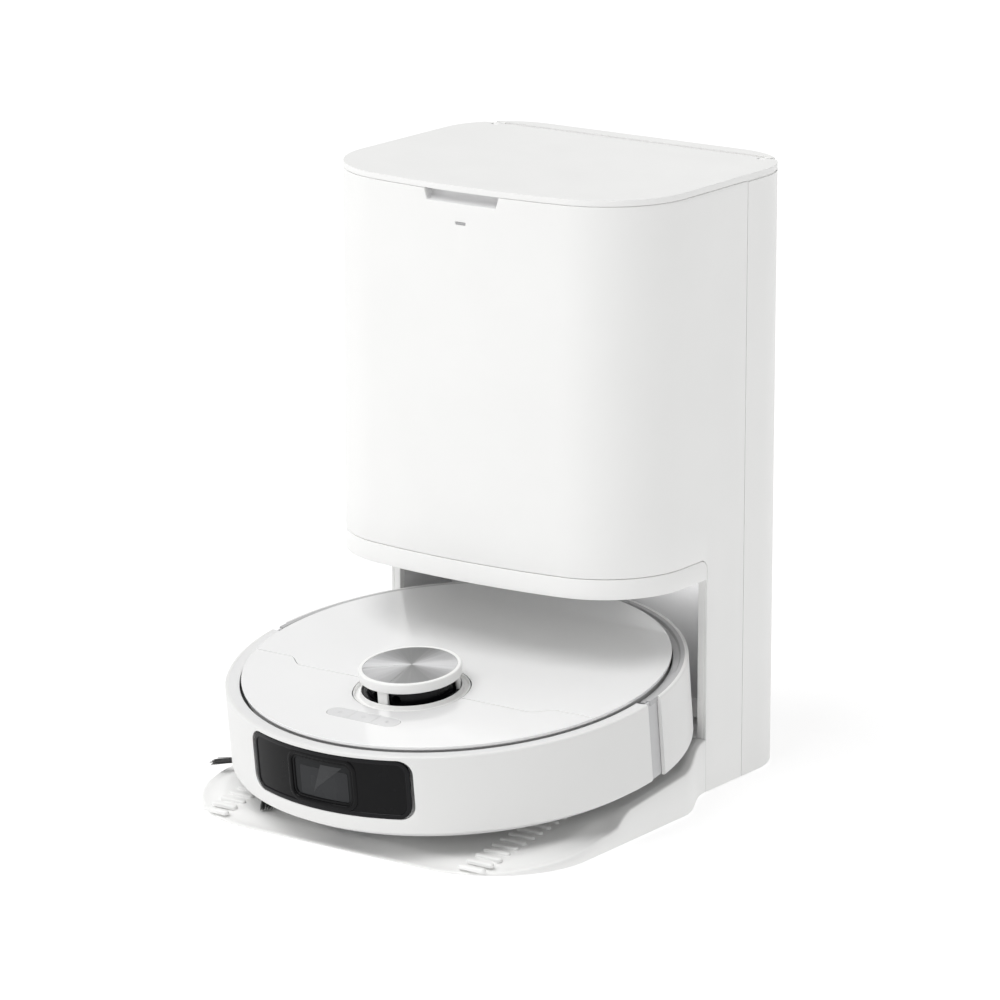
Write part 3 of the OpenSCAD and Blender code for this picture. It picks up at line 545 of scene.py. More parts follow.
# ---- station shells
FRONT_R, REAR_R, BULGE_R = 72, 57, 620
SKIN_T = 2.6
LID_Z = LID_TOP - 4.5
JAMB_Y = BACK_Y - 131
HINGE = Vector(JOINTS["lid_hinge"]["pos_m"]) / MM
RECESS_HW, RECESS_H, RECESS_SLANT = 34, 9, 2.6
LENS_Z = (reach("status_lens", LOW, Z) + reach("status_lens", HIGH, Z)) / 2
LENS_HW, LENS_HH = 4.6, 1.1
BAY_CORNER = 8
CORNER_X = BODY_HW - FRONT_R
REAR_X = BODY_HW - REAR_R
BULGE_Y = FACE_Y + BULGE_R
CORNER_Y = BULGE_Y - sqrt((BULGE_R - FRONT_R) ** 2 - CORNER_X ** 2)
REAR_Y = BACK_Y - REAR_R
BULGE_A = asin(CORNER_X / (BULGE_R - FRONT_R))
FAR = 1e9


def arc(x, y, r, start, stop, n):
    """Points round a centre, with angles in radians from -Y towards +X."""
    return [Vector((x + r * sin(start + (stop - start) * k / n),
                    y - r * cos(start + (stop - start) * k / n))) for k in range(n + 1)]


def front_y(x, depth=0.0):
    """The bulged front face's place at x."""
    return BULGE_Y - sqrt((BULGE_R - depth) ** 2 - x * x)


def body_outline(depth=0.0, y0=-FAR, y1=FAR, n=20):
    """The station's outline, anticlockwise from above, drawn in by depth and cut to y0..y1."""
    half = (arc(0, BULGE_Y, BULGE_R - depth, 0, BULGE_A, 10)
            + arc(CORNER_X, CORNER_Y, FRONT_R - depth, BULGE_A, pi / 2, n)[1:]
            + arc(REAR_X, REAR_Y, REAR_R - depth, pi / 2, pi, n))
    cut = []
    for a, b in zip(half, half[1:]):
        if y0 <= a.y <= y1:
            cut.append(a)
        for limit in (y0, y1):
            if (a.y - limit) * (b.y - limit) < 0:
                cut.append(a.lerp(b, (limit - a.y) / (b.y - a.y)))
    if half[-1].y <= y1:
        cut.append(half[-1])
    return cut + [Vector((-p.x, p.y)) for p in reversed(cut) if abs(p.x) > 0.001]


def wall_stations(y_end, extra=()):
    """(point, outward normal) along the outline, from the left side round the front to the right."""
    xs = sorted(set([0, 12, 24, RECESS_HW, 42, 52, 64] + list(extra)))
    half = []
    for x in xs:
        p = Vector((x, front_y(x)))
        half.append((p, (p - Vector((0, BULGE_Y))).normalized()))
    corner = Vector((CORNER_X, CORNER_Y))
    bend = arc(CORNER_X, CORNER_Y, FRONT_R, BULGE_A, pi / 2, 28)
    half += [(p, (p - corner).normalized()) for p in bend]
    ys = [60, JAMB_Y - 2 * BAY_CORNER]
    ys += [JAMB_Y - BAY_CORNER * (1 - sin(pi / 12 * k)) for k in range(7)]
    ys += [JAMB_Y + 12, JAMB_Y + 30, y_end]
    half += [(Vector((BODY_HW, y)), Vector((1, 0))) for y in ys if y <= y_end]
    return [(Vector((-p.x, p.y)), Vector((-v.x, v.y))) for p, v in reversed(half[1:])] + half


def bay_edge(y, top, end, r):
    """Height of the rounded edge of the robot bay's opening, seen from the side."""
    if y <= end - r:
        return top
    return top - r + sqrt(max(0.0, r * r - (y - end + r) ** 2))


def wall(name, stations, heights, hole, nodes, bevel=0.5):
    """A moulded wall: a sheet on the outline, given its thickness and soft edges.
    heights(p) gives the sheet's {row: height} at p, and hole(m) is true for a face that is left out."""
    verts, faces, at = [], [], {}
    for i, (p, _) in enumerate(stations):
        for k, z in heights(p).items():
            at[i, k] = len(verts)
            x = p.x
            if abs(abs(x) - RECESS_HW) < 0.01 and p.y < CORNER_Y:
                lean = 1 - (z - (LID_Z - RECESS_H)) / RECESS_H if z > LID_Z - RECESS_H - 0.1 else 0
                x -= copysign(RECESS_SLANT * lean, x)
            verts.append((x, p.y, z))
    for i, k in list(at):
        corners = [at.get(key) for key in ((i, k), (i + 1, k), (i + 1, k + 1), (i, k + 1))]
        if None not in corners and not hole(sum((Vector(verts[c]) for c in corners), Vector()) / 4):
            faces.append(tuple(corners))
    obj = raw_object(name, (verts, faces), weld=True)
    if obj.data.polygons[0].normal.dot(Vector((*stations[0][1], 0))) < 0:
        obj.data.flip_normals()
    thickened(obj, SKIN_T, -1).use_even_offset = True
    bevelled(obj, bevel, 40)
    apply_modifiers(obj)
    finish_piece(obj, "satin_white", "station", nodes)


def make_front_panel():
    levels = [210, 260, 310, 360, 405, LENS_Z - LENS_HH, LENS_Z + LENS_HH, 450,
              LID_Z - RECESS_H, LID_Z - RECESS_H / 2, LID_Z - 0.5]

    def heights(p):
        legs = p.y > JAMB_Y - 0.01
        low = STRIP_Z - BAY_CORNER if legs else bay_edge(p.y, STRIP_Z, JAMB_Y, BAY_CORNER)
        rows = dict(enumerate([low] + levels))
        return {-3: BASE_Z, -2: 60, -1: 120, **rows} if legs else rows

    def hole(m):
        slot = abs(m.x) < RECESS_HW and m.z > LID_Z - RECESS_H and m.y < CORNER_Y
        lens = abs(m.x) < LENS_HW and abs(m.z - LENS_Z) < LENS_HH and m.y < CORNER_Y
        return slot or lens

    stations = wall_stations(SPLIT_Y - 0.4, [LENS_HW])
    wall("front_panel", stations, heights, hole, ["outer_skin"])


def make_lid_seal():
    """A pale bead behind the gap under the lid, so that the gap reads as a fine line."""
    end = HINGE.y - 14
    outer, inner = (body_outline(depth, y1=end) for depth in (0.9, 2.3))
    half = (len(outer) + 1) // 2
    ring = [outer[half:] + outer[:half] + (inner[half:] + inner[:half])[::-1]]
    notch = cutter(box_outline(2 * RECESS_HW, 30, 1, 0, FACE_Y), LID_Z - 12, LID_Z + 2, docked=False)
    seal = slab(ring, LID_Z - 3, LID_Z - 0.12, 0.2, 0.1)
    piece("lid_seal", seal, "satin_white", "station", cutters=[notch])


def make_finger_scoop():
    """The hollow behind the recess: a quarter round sheet with its two end walls."""
    half, steps, depth = 12, 8, 9
    columns = []
    for i in range(2 * half + 1):
        column = []
        for k in range(steps + 1):
            t = pi / 2 * k / steps
            x = (i / half - 1) * (RECESS_HW - RECESS_SLANT * (1 - k / steps))
            y = front_y(x) + 1.2 + depth * sin(t)
            column.append((x, y, LID_Z - RECESS_H - 0.2 + (RECESS_H - 1.2) * (1 - cos(t))))
        columns.append(column)
    ends = []
    for column in (columns[0], columns[-1]):
        corner = (column[-1][X], column[0][Y], column[-1][Z])
        ends.append(([*column, corner], [tuple(range(len(column) + 1))]))
    sheet = [p for column in columns for p in column], skin(len(columns), steps + 1, closed=False)
    obj = raw_object("finger_scoop", joined(sheet, *ends), weld=True)
    thickened(obj, 1.0, 0)
    apply_modifiers(obj)
    finish_piece(obj, "scoop_grey", "station")


def make_status_lens():
    part = slab([box_outline(2 * LENS_HW - 0.2, 2 * LENS_HH - 0.2, 0.9)], -2, 0.5, 0.4, 0.2)
    stand = shift(0, FACE_Y + 0.7, LENS_Z) @ spin(90, "X")
    piece("status_light", moved(part, stand), "lens_idle", "station", ["status_lens"])


def make_trim():
    def heights(p):
        top = bay_edge(p.y, STRIP_Z - 0.4, JAMB_Y - 0.4, BAY_CORNER - 0.4)
        return dict(enumerate([SOFFIT_Z, SOFFIT_Z + 5, min(SOFFIT_Z + 6.2, top - 0.5), top]))

    wall("trim_strip", wall_stations(JAMB_Y - 0.4), heights, lambda m: False, (), 0.7)
    front = body_outline(SKIN_T - 0.4, y1=JAMB_Y - 0.5)
    rear = body_outline(SKIN_T + 0.3, y0=JAMB_Y - 1, y1=BAY_BACK_Y)
    parts = [slab([outline], SOFFIT_Z + 0.3, SOFFIT_Z + 3, 0.3, 0.3) for outline in (front, rear)]
    for side in (-1, 1):
        width = BODY_HW - SKIN_T - BAY_HW
        outline = box_outline(width, 6, 0.6, side * (BAY_HW + width / 2), JAMB_Y + 3)
        parts.append(slab([outline], BASE_Z, SOFFIT_Z, 0.3, 0.3))
    piece("bay_frame", joined(*parts), "satin_white", "station", ["trim_frame"])


# ---- tray
TRAY_R = 82
LIP_Z = 3
FLANK_L = 58
RIM_W, SHOULDER_W = 5, 15
RAMP_DROP = 4.4
BASIN_D, BASIN_Y, BASIN_Z = 135, 85.5, -RAMP_DROP - 6
TRACK_X, TRACK_Y = 118, -144
RIB_L, RIB_W, RIB_H, RIB_PITCH, RIB_COUNT, RIB_TURN = 18, 5, 1.9, 10.4, 12, 1


def smooth(t):
    t = min(1.0, max(0.0, t))
    return t * t * (3 - 2 * t)


def rim_height(y):
    """Top of the tray's rim: it climbs slowly, with an S-shaped step and a small one behind it."""
    r = y - ROBOT_Y
    return LIP_Z + 0.105 * (r + 152) + 9.5 * smooth((r + 33) / 18) + 3 * smooth((r - 58) / 24)


def ramp_height(y):
    plate_z = (DOCKED @ Vector((0, 0, PLATE_H))).z
    return plate_z - (PLATE_H + RAMP_DROP) / cos(PITCH) + (y - ROBOT_Y) * tan(PITCH)


def tray_ring(depth, across=28):
    """One ring of the tray, drawn in by depth: the front, the right side, the rear and the left."""
    half = TRAY_HW - TRAY_R
    front = [Vector((half * (2 * k / across - 1), TRAY_FRONT + depth)) for k in range(across + 1)]
    right = arc(half, TRAY_FRONT + TRAY_R, TRAY_R - depth, 0, pi / 2, 26)[1:]
    flank = JAMB_Y - FLANK_L
    ys = [TRAY_FRONT + TRAY_R + (flank - TRAY_FRONT - TRAY_R) * k / 16 for k in range(1, 17)]
    ys += [flank + (FLANK_L - 0.4) * k / 16 for k in range(1, 17)]
    for y in ys:
        narrower = (TRAY_HW - BODY_HW) * smooth((y - flank) / FLANK_L)
        right.append(Vector((TRAY_HW - narrower - depth, y)))
    right += [Vector((BAY_HW - 0.3 - depth, y)) for y in (JAMB_Y - 0.2, 100, 120, BAY_BACK_Y - depth)]
    x = right[-1].x
    rear = [Vector((x * (1 - 2 * k / across), BAY_BACK_Y - depth)) for k in range(1, across + 1)]
    left = [Vector((-p.x, p.y)) for p in reversed(right[:-1])]
    return front + right + rear + left, len(front), len(right)


def make_tray():
    depths = [1.6, 2.6, 3.8, 5, 6.5, 8, 10, 12, 14, 16, 18, 20]
    levels = [(0.5, lambda y: BASE_Z), (0, lambda y: BASE_Z + 0.6), (0, lambda y: rim_height(y) - 1.4),
              (0.2, lambda y: rim_height(y) - 0.75), (0.75, lambda y: rim_height(y) - 0.2)]
    for d in depths:
        t = smooth((d - RIM_W) / SHOULDER_W)
        levels.append((d, lambda y, t=t: rim_height(y) * (1 - t) + ramp_height(y) * t))
    verts, faces = [], []
    size = front = right = 0
    for depth, height in levels:
        ring, front, right = tray_ring(depth)
        size = len(ring)
        verts += [(p.x, p.y, height(p.y)) for p in ring]
    faces += skin(len(levels), size)
    inner = (len(levels) - 1) * size
    across = front - 1
    rows = [[inner + k for k in range(front)]]
    for i in range(right - 1):
        a, b = inner + front + i, inner + (size - 1 - i)
        row = [b]
        pa, pb = Vector(verts[a]), Vector(verts[b])
        for k in range(1, across):
            p = pb.lerp(pa, k / across)
            row.append(len(verts))
            verts.append((p.x, p.y, ramp_height(p.y)))
        rows.append(row + [a])
    rows.append([inner + front + right - 1 + k for k in range(front)][::-1])
    for low, high in zip(rows, rows[1:]):
        faces += [(low[k], low[k + 1], high[k + 1], high[k]) for k in range(across)]
    faces.append(tuple(range(size)))
    basin = slab([box_outline(2 * BAY_HW - 28, BASIN_D, 9, 0, BASIN_Y)], BASIN_Z, 60, 0.3, 2)
    basin = raw_object("cutter", basin, docked=True)
    piece("tray_moulding", (verts, faces), "satin_white", "station", ["tray"], cutters=[basin], sharp=50)


def make_ribs():
    parts = []
    for side in (-1, 1):
        for i in range(RIB_COUNT):
            y = ROBOT_Y + TRACK_Y + RIB_PITCH * i
            rib = slab([box_outline(RIB_L + RIB_W, RIB_W, RIB_W / 2 - 0.05)], -1, RIB_H, 1.5, 0.1, 6)
            at = shift(side * TRACK_X, y, ramp_height(y))
            parts.append(moved(rib, at @ TILT @ spin(RIB_TURN * side)))
    piece("tray_ribs", joined(*parts), "satin_white", "station")


# ---- robot shells
PLATE_R, PLATE_T = 162.5, 2.4
RIM_Z = PLATE_H - 2.8
BUMPER_A, REAR_A = 89.5, 95.2
BUMPER_Z, SIDE_Z = 15, 13.4
CONTACT_X, CONTACT_Z = 24, 28
WINDOW_W, WINDOW_H, WINDOW_R, WINDOW_Z = 147, 46.6, 11, 49.9
RING_R = 44.7
SEAM_IN, SEAM_OUT, SEAM_FRONT, SEAM_REAR, SEAM_GAP = 105, 124, -56.5, -45, 0.75
BUTTON_Y, BUTTON_HW, BUTTON_HD = -117.5, 32, 7.5


def box_profile(inner, outer, low, high, radius, guard=0.0):
    """A turned ring's section, from its lower inner corner anticlockwise."""
    return soften([(inner, low), (outer, low), (outer, high), (inner, high)], radius, guard=guard)


def wall_profile(z0):
    return box_profile(ROBOT_R - 3, ROBOT_R, z0, RIM_Z, [0.6, 2.2, 2.4, 0.3], 0.15)


def lip_profile(inner, groove=0.0):
    """The rim between the plate and the wall; a groove lowers it beside the plate."""
    outer = ROBOT_R - 2.6
    outline = [(inner, -4), (outer, -4), (outer, -0.1), (PLATE_R + 6.6, -0.4),
               (PLATE_R + 5.4, -0.5 - groove), (inner, -0.6 - groove)]
    return soften([(r, RIM_Z + z) for r, z in outline], [0.3, 0.1, 0.1, 0.4, 0.4, 0.5])


def window_cutter(w, h, r):
    matrix = shift(0, -ROBOT_R + 30, WINDOW_Z) @ spin(90, "X")
    return cutter(box_outline(w, h, r, steps=10), 0, 60, matrix)


def make_bumper():
    opening = window_cutter(WINDOW_W, WINDOW_H, WINDOW_R)
    shell, lip = (turned(profile, -BUMPER_A, 2 * BUMPER_A, 150)
                  for profile in (wall_profile(BUMPER_Z), lip_profile(PLATE_R + 1.5)))
    piece("bumper_shell", shell, "bumper_white_painted_shade", "bumper_shell", ["bumper"],
          cutters=[opening], round_off=0.4)
    piece("bumper_lip", lip, "trim_grey", "bumper_shell")
    # A black ring under the gap round the plate, so that the gap reads dark: painted shade, drawn as a rubber seal
    seal = box_profile(PLATE_R - 3.5, PLATE_R + 3.5, RIM_Z - 9, RIM_Z - 6, 0.5)
    piece("bumper_gap_shade_ring", turned(seal, -BUMPER_A - 1, 2 * BUMPER_A + 2, 120), "rubber_black", "robot")


def make_side_shell():
    sweep = 360 - 2 * REAR_A
    at = shift(0, ROBOT_R, CONTACT_Z)
    notches = [cutter(box_outline(12, 30, 1.5, x, 0), 0, 10, at) for x in (-CONTACT_X, CONTACT_X)]
    shell = turned(wall_profile(SIDE_Z), REAR_A, sweep, 130)
    piece("side_shell_wall", shell, "bumper_white_painted_shade", "robot", ["side_shell"],
          cutters=notches, round_off=0.9)
    rim = turned(lip_profile(PLATE_R + 0.4, 1.8), REAR_A - 3.5, sweep + 7, 130)
    piece("rear_rim", rim, "rim_grey", "robot")
    strip = box_profile(ROBOT_R - 5.4, ROBOT_R - 3.35, 14, RIM_Z - 1.2, 0.5, 0.1)
    strips = [turned(strip, start, 8.9, 8) for start in (-96.4, 87.5)]
    piece("end_strips", joined(*strips), "strip_grey", "robot")


def seam_line(gap):
    """The seam between the front plate and the rear cover, from left to right."""
    steps = [k / 14 for k in range(15)]
    across, along = SEAM_OUT - SEAM_IN, SEAM_FRONT - SEAM_REAR
    left = [Vector((across * t - SEAM_OUT, SEAM_REAR + gap + along * smooth(t))) for t in steps]
    return left + [Vector((-p.x, p.y)) for p in reversed(left)]


def plate_outline(front, gap):
    """Outline of the glossy plate's front or rear piece, notched round the turret's ring."""
    seam = seam_line(gap)
    turret = Vector((0, -TURRET_Y))
    hit = seam[14].y - turret.y
    side = sqrt(RING_R ** 2 - hit ** 2)
    edge = sqrt(PLATE_R ** 2 - seam[0].y ** 2)
    cut = atan2(side, -hit)
    rim = atan2(edge, -seam[0].y)
    if front:
        ring = arc(0, turret.y, RING_R, -cut, cut, 40)
        outer = arc(0, 0, PLATE_R, -rim, rim, 150)
        return outer + seam[:14:-1] + ring[::-1] + seam[14::-1]
    ring = arc(0, turret.y, RING_R, cut, tau - cut, 60)
    outer = arc(0, 0, PLATE_R, rim, tau - rim, 150)
    return outer + seam[:15] + ring[::-1] + seam[15:]


def button_outline(i, grow):
    """One of the three keys of the capsule, or the whole capsule for i = None."""
    if i is None:
        half, deep = BUTTON_HW + grow, BUTTON_HD + grow
        return box_outline(2 * half, 2 * deep, deep - 0.05, 0, BUTTON_Y, steps=12)
    width = 2 * BUTTON_HW / 3
    middle = width * (i - 1)
    big, small = BUTTON_HD - 0.05, 0.6
    left, right = big if i == 0 else small, big if i == 2 else small
    corners = [left, right, right, left]
    return box_outline(width - 0.16, 2 * BUTTON_HD, corners, middle, BUTTON_Y, steps=10)


def make_plates():
    hole = button_outline(None, 0.2)[::-1]
    front, rear = (slab(loops, PLATE_H - PLATE_T, PLATE_H, 0.25, 0.2)
                   for loops in ([plate_outline(True, 0), hole], [plate_outline(False, SEAM_GAP)]))
    piece("front_plate", front, "gloss_white", "robot", ["top_plate"])
    piece("lift_off_cover", rear, "gloss_white", "cover", ["rear_cover"])


def make_buttons():
    keys = ["left", "centre", "right"]
    for i, key in enumerate(keys):
        part = slab([button_outline(i, 0)], PLATE_H - 3.2, PLATE_H - 0.02, 0.12, 0.1)
        piece("key_" + key, part, "key_white", "key_" + key, ["button_" + key])
    x = 2 * BUTTON_HW / 3
    z0, z1 = PLATE_H - 0.1, PLATE_H + 0.02

    def stroke(points, width=0.4):
        """A line of constant width through points."""
        left, right = [], []
        for k, p in enumerate(points):
            d = heading(points, k)
            n = Vector((-d.y, d.x)) * width / 2
            left.append(Vector(p) + n)
            right.append(Vector(p) - n)
        return slab([right + left[::-1]], z0, z1, 0.01, 0.01, 1)

    def round_line(r, start=0, sweep=360, n=20):
        turns = (radians(start + sweep * k / n) for k in range(n + 1))
        return [(r * sin(t), r * cos(t)) for t in turns]

    house = [(-1.3, -1.3), (1.3, -1.3), (1.3, 0.3), (0, 1.5), (-1.3, 0.3), (-1.3, -1.3)]
    power = [round_line(1.5, 35, 290), [(0, 0.4), (0, 1.9)]]
    target = [round_line(1.4), round_line(0.4, n=10)]
    for key, centre, lines in zip(keys, (-x, 0, x), ([house], power, target)):
        strokes = [stroke([(centre + a, BUTTON_Y + b) for a, b in line]) for line in lines]
        piece("key_symbol_" + key, joined(*strokes), "faint_print", "key_" + key)


# ---- turret
# Radii, and heights over the plate
CAP_R, DISC_R = 38.7, 35.6
GAP_Z, CAP_TOP = 11, 18.6
SEAT_R, SEAT_IN, SEAT_OUT = 33.5, 37.6, 43.95
POST_R, POST_TURNS = 35.2, (-90, 30, 150)
ROTOR_R, ROTOR_TOP = 32.6, 10.6
PORT_X, PORT_Z, PORT_R = 9, 4, 3.4
AT_TURRET = shift(0, -TURRET_Y, PLATE_H)


def turret_piece(name, section, finish, body, nodes=(), n=120, more=(), **rest):
    """A section turned round the turret's axis, with more parts joined to it."""
    piece(name, moved(joined(turned(section, n=n), *more), AT_TURRET), finish, body, nodes, **rest)


def post_slots():
    """Cutters for the three slots that the cover's posts sink into when it is pressed."""
    outline = box_outline(3.6, 9.8, 0.5, POST_R, 0)
    return [cutter(outline, -6, 10, AT_TURRET @ spin(a)) for a in POST_TURNS]


def make_turret():
    seat = soften([
        (SEAT_R, -6), (SEAT_R, 0.2), (SEAT_IN, 0.2), (SEAT_IN, 1.5), (38.5, 1.5), (39.0, -2.6),
        (42.6, -2.6), (43.0, -0.1), (SEAT_OUT, -0.1), (SEAT_OUT, -3), (40, -3.4), (40, -19),
        (SEAT_R, -19)], [0, 0.3, 0.3, 0.4, 0.4, 0.6, 0.6, 0.4, 0.4, 0.2, 0.2, 0.5, 0], 4)
    turret_piece("turret_seat", seat, "satin_white", "robot", ["turret_base"], cutters=post_slots())
    edge, under, inside = DISC_R + 0.1, CAP_TOP - 1.2, CAP_TOP - 3
    cap = soften([
        (34.6, GAP_Z), (CAP_R, GAP_Z), (CAP_R, CAP_TOP), (edge, CAP_TOP), (edge, under), (1, under),
        (1, inside), (34.6, inside)], [0.3, 0.7, 1.0, 0.3, 0, 0, 0, 0.5])
    post = slab([box_outline(2.8, 9, 0.8, POST_R, 0)], -4.2, GAP_Z + 2, 0.2, 0.2)
    posts = [moved(post, spin(a)) for a in POST_TURNS]
    turret_piece("turret_cover", cap, "satin_white", "turret", ["turret_cap"], more=posts)
    rotor = box_profile(0.5, ROTOR_R, -3.6, ROTOR_TOP, [0, 0.5, 0.8, 0], 0.1)
    ports = [cutter(oval(x, PORT_Z, PORT_R), 24, 50, AT_TURRET @ spin(90, "X"))
             for x in (-PORT_X, PORT_X)]
    turret_piece("laser_rotor", rotor, "black_gloss", "lidar", ["lidar_rotor"], 100, cutters=ports)
    gap = soften([(30, -5), (37.4, -5), (37.4, 0.35), (33.6, 0.35), (33.6, -4), (30, -4)], 0.2)
    turret_piece("turret_gap", gap, "black_gloss", "robot", n=100, cutters=post_slots())
    disc = [(0.01, -1.1), (DISC_R - 0.3, -1.1), (DISC_R, -0.8), (DISC_R, -0.45), (DISC_R - 0.35, -0.15),
            (DISC_R - 1.2, -0.1), (12, -0.14), (0.01, -0.16)]
    disc = [(r, CAP_TOP + z) for r, z in disc]
    turret_piece("spun_disc", disc, "brushed_disc", "turret", ["cap_disc"], weld=True)


# ---- window and camera
def bent(part, pitch=4.0):
    """A flat part cut into strips, so that it bends smoothly, and bent round the robot's axis."""
    low, high = (end(v[0] for v in part[0]) for end in (min, max))
    obj = raw_object("strip_plate", part)
    work = bmesh.new()
    work.from_mesh(obj.data)
    strips = max(2, int((high - low) / pitch))
    for k in range(1, strips):
        at = Vector((low + (high - low) * k / strips, 0, 0)) * MM
        everything = work.verts[:] + work.edges[:] + work.faces[:]
        bmesh.ops.bisect_plane(work, geom=everything, plane_co=at, plane_no=(1, 0, 0))
    work.to_mesh(obj.data)
    work.free()
    verts = []
    for v in obj.data.vertices:
        px, py, pz = v.co / MM
        a = px / ROBOT_R
        verts.append(((ROBOT_R + pz) * sin(a), -(ROBOT_R + pz) * cos(a), WINDOW_Z + py))
    faces = [tuple(p.vertices) for p in obj.data.polygons]
    bpy.data.objects.remove(obj)
    return verts, faces


def bent_frame(w, h, r, band, z0, z1, rim):
    """A rounded frame of constant band width, bent round the robot's axis."""
    outer = box_outline(w, h, r, steps=9)
    inner = box_outline(w - 2 * band, h - 2 * band, max(1, r - band), clockwise=True, steps=9)
    return bent(slab([outer, inner], z0, z1, rim, 0.2, 4))


def bent_slab(w, h, r, z0, z1, rim, x=0.0, y=0.0):
    """A rounded plate bent round the robot's axis."""
    return bent(slab([box_outline(w, h, r, x, y, steps=8)], z0, z1, rim, 0.1, 4))


def bent_wedge(corners, radius, thick, rows=8, steps=6):
    """A thin four-sided plate bent round the robot's axis."""
    verts = []
    a, b, c, d = (Vector(p) for p in corners)
    for r in (radius - thick, radius):
        for i in range(rows + 1):
            for k in range(steps + 1):
                p = a.lerp(d, i / rows).lerp(b.lerp(c, i / rows), k / steps)
                verts.append((r * sin(p.x / radius), -r * cos(p.x / radius), WINDOW_Z + p.y))
    m, size = steps + 1, (rows + 1) * (steps + 1)
    faces = skin(rows + 1, m, closed=False)
    faces += [tuple(v + size for v in reversed(quad)) for quad in faces]
    rim = [k for k in range(m)] + [i * m + steps for i in range(1, rows + 1)]
    rim += [rows * m + k for k in range(steps - 1, -1, -1)] + [i * m for i in range(rows - 1, 0, -1)]
    faces += [(p, q, q + size, p + size) for p, q in zip(rim, rim[1:] + rim[:1])]
    return verts, faces


def make_window():
    """The dark window in the bumper, and the camera's stepped frame, glass and a painted glint behind it."""
    w, h = 63, 41
    sensor_w, sensor_h, at_x, at_y = 44, 23, 1.5, -2.5
    opening = window_cutter(w - 8, h - 8, 7)
    outline = bent_frame(sensor_w, sensor_h, 2, 0.35, -2.2, -1.98, 0.1)
    parts = {
        "window_border": ("black_gloss", bent_frame(
            WINDOW_W - 0.3, WINDOW_H - 0.3, WINDOW_R - 0.1, 3.6, -2.6, -0.02, 0.7)),
        "window_pane": ("window_glass", bent_slab(
            WINDOW_W - 6, WINDOW_H - 6, WINDOW_R - 3, -2.4, -0.75, 0.2)),
        "camera_frame": ("window_glass", bent_frame(w, h, 10, 3.8, -2.4, 0.12, 1.2)),
        "camera_step": ("window_glass", bent_frame(w - 7.4, h - 7.4, 6.6, 2.2, -3.4, -1.2, 0.7)),
        "camera_glass": ("camera_glass", bent_slab(w - 8.6, h - 8.6, 6, -3.6, -2.2, 0.3)),
        "camera_inner": ("camera_inner", bent_slab(
            sensor_w, sensor_h, 2, -2.4, -2.05, 0.15, at_x, at_y)),
        "camera_outline": ("camera_glint", moved(outline, shift(at_x, 0, at_y))),
        # A lighter wedge over the camera glass: a painted reflection
        "camera_glint": ("camera_glint", bent_wedge(
            [(0, 12.5), (19, 12.5), (-5.5, -7), (-9, -13)], ROBOT_R - 1.95, 0.12)),
    }
    for name, (finish, part) in parts.items():
        nodes = ["bumper_window"] if name == "window_border" else ()
        cutters = [opening] if name == "window_pane" else ()
        piece(name, part, finish, "bumper_shell", nodes, cutters=cutters)


# ---- brushes, pads and wheels
HUB = (-112, -88)
ARMS, TUFT = (180, 300, 60), 80
TUFT_ROOT, TUFT_END, TUFT_Z, TUFT_DROP = 21, 62, 6, 7.2
BRUSH_Y, BRUSH_Z = -18, 19
MOP_X, MOP_Y = 64, 84
LOOP, SOLE_Z, BACKING_Z = 1.3, 1, 6.9
SIDES = ((-1, "left"), (1, "right"))
WHEEL_X, WHEEL_Y, WHEEL_Z, WHEEL_R, WHEEL_W = 120, 2, 31, 35, 18


def strand(path, radius, sides=4, tip=0.55):
    """A tapering bristle through points."""
    verts = []
    n = len(path)
    for k, p in enumerate(path):
        run = heading(path, k)
        across = run.cross(Vector((0, 0, 1))).normalized()
        over = run.cross(across)
        r = radius * (1 - (1 - tip) * k / (n - 1))
        for i in range(sides):
            a = tau * i / sides
            verts.append(Vector(p) + across * (r * cos(a)) + over * (r * sin(a)))
    ends = [tuple(range(sides)), tuple(range((n - 1) * sides, n * sides))]
    return verts, skin(n, sides) + ends


def make_side_brush():
    at = shift(*HUB, 0)
    hub = soften([(0.5, 4), (9.5, 4), (11, 5.2), (11, 9.6), (3, 9.8), (3, 17), (0.5, 17)],
                 [0, 0.4, 0.6, 0.8, 0.3, 0.4, 0])
    parts = [turned(hub, n=48)]
    bristles = []
    for arm in ARMS:
        turn = spin(arm)
        sleeve = slab([box_outline(18, 6, 1.6, 15, 0)], 4.2, 7.8, 1.2, 1.0, 4)
        parts.append(moved(sleeve, turn))
        for _ in range(TUFT):
            side, level = random.uniform(-2.1, 2.1), random.uniform(-1.2, 1.2)
            fan = side * 1.1 + random.gauss(0, 0.5)
            run = TUFT_END - random.uniform(0, 3.2) - TUFT_ROOT
            path = []
            for t in (0, 0.2, 0.4, 0.6, 0.8, 1):
                z = TUFT_Z + level * (1 + 0.3 * t) - TUFT_DROP * t ** 1.5
                path.append((TUFT_ROOT + run * t, side * 0.9 + fan * t * 1.3, z))
            bristles.append(moved(strand(path, 0.26), turn))
    piece("edge_brush_hub", moved(joined(*parts), at), "mid_plastic", "edge_brush", ["side_brush"])
    tufts = moved(joined(*bristles), at)
    piece("edge_brush_tufts", tufts, "bristle", "edge_brush", ["side_bristles"], sharp=80)


def pad_rings():
    """(radius, height) round a mop pad's section, in steps of about a loop's size."""
    section = [(0, 0.25), (20, 0.1), (40, 0.0), (52, 0.15), (57, 0.5), (60, 1.3), (61.6, 2.6),
               (62, 3.9), (61.4, 5.4), (60, 6.5), (57, 6.95), (40, 7), (20, 7)]
    rings = []
    for (r0, z0), (r1, z1) in zip(section, section[1:]):
        steps = max(1, int(hypot(r1 - r0, z1 - z0) / LOOP))
        rings += [(r0 + (r1 - r0) * k / steps, z0 + (z1 - z0) * k / steps) for k in range(steps)]
    return rings[1:] + [section[-1]]


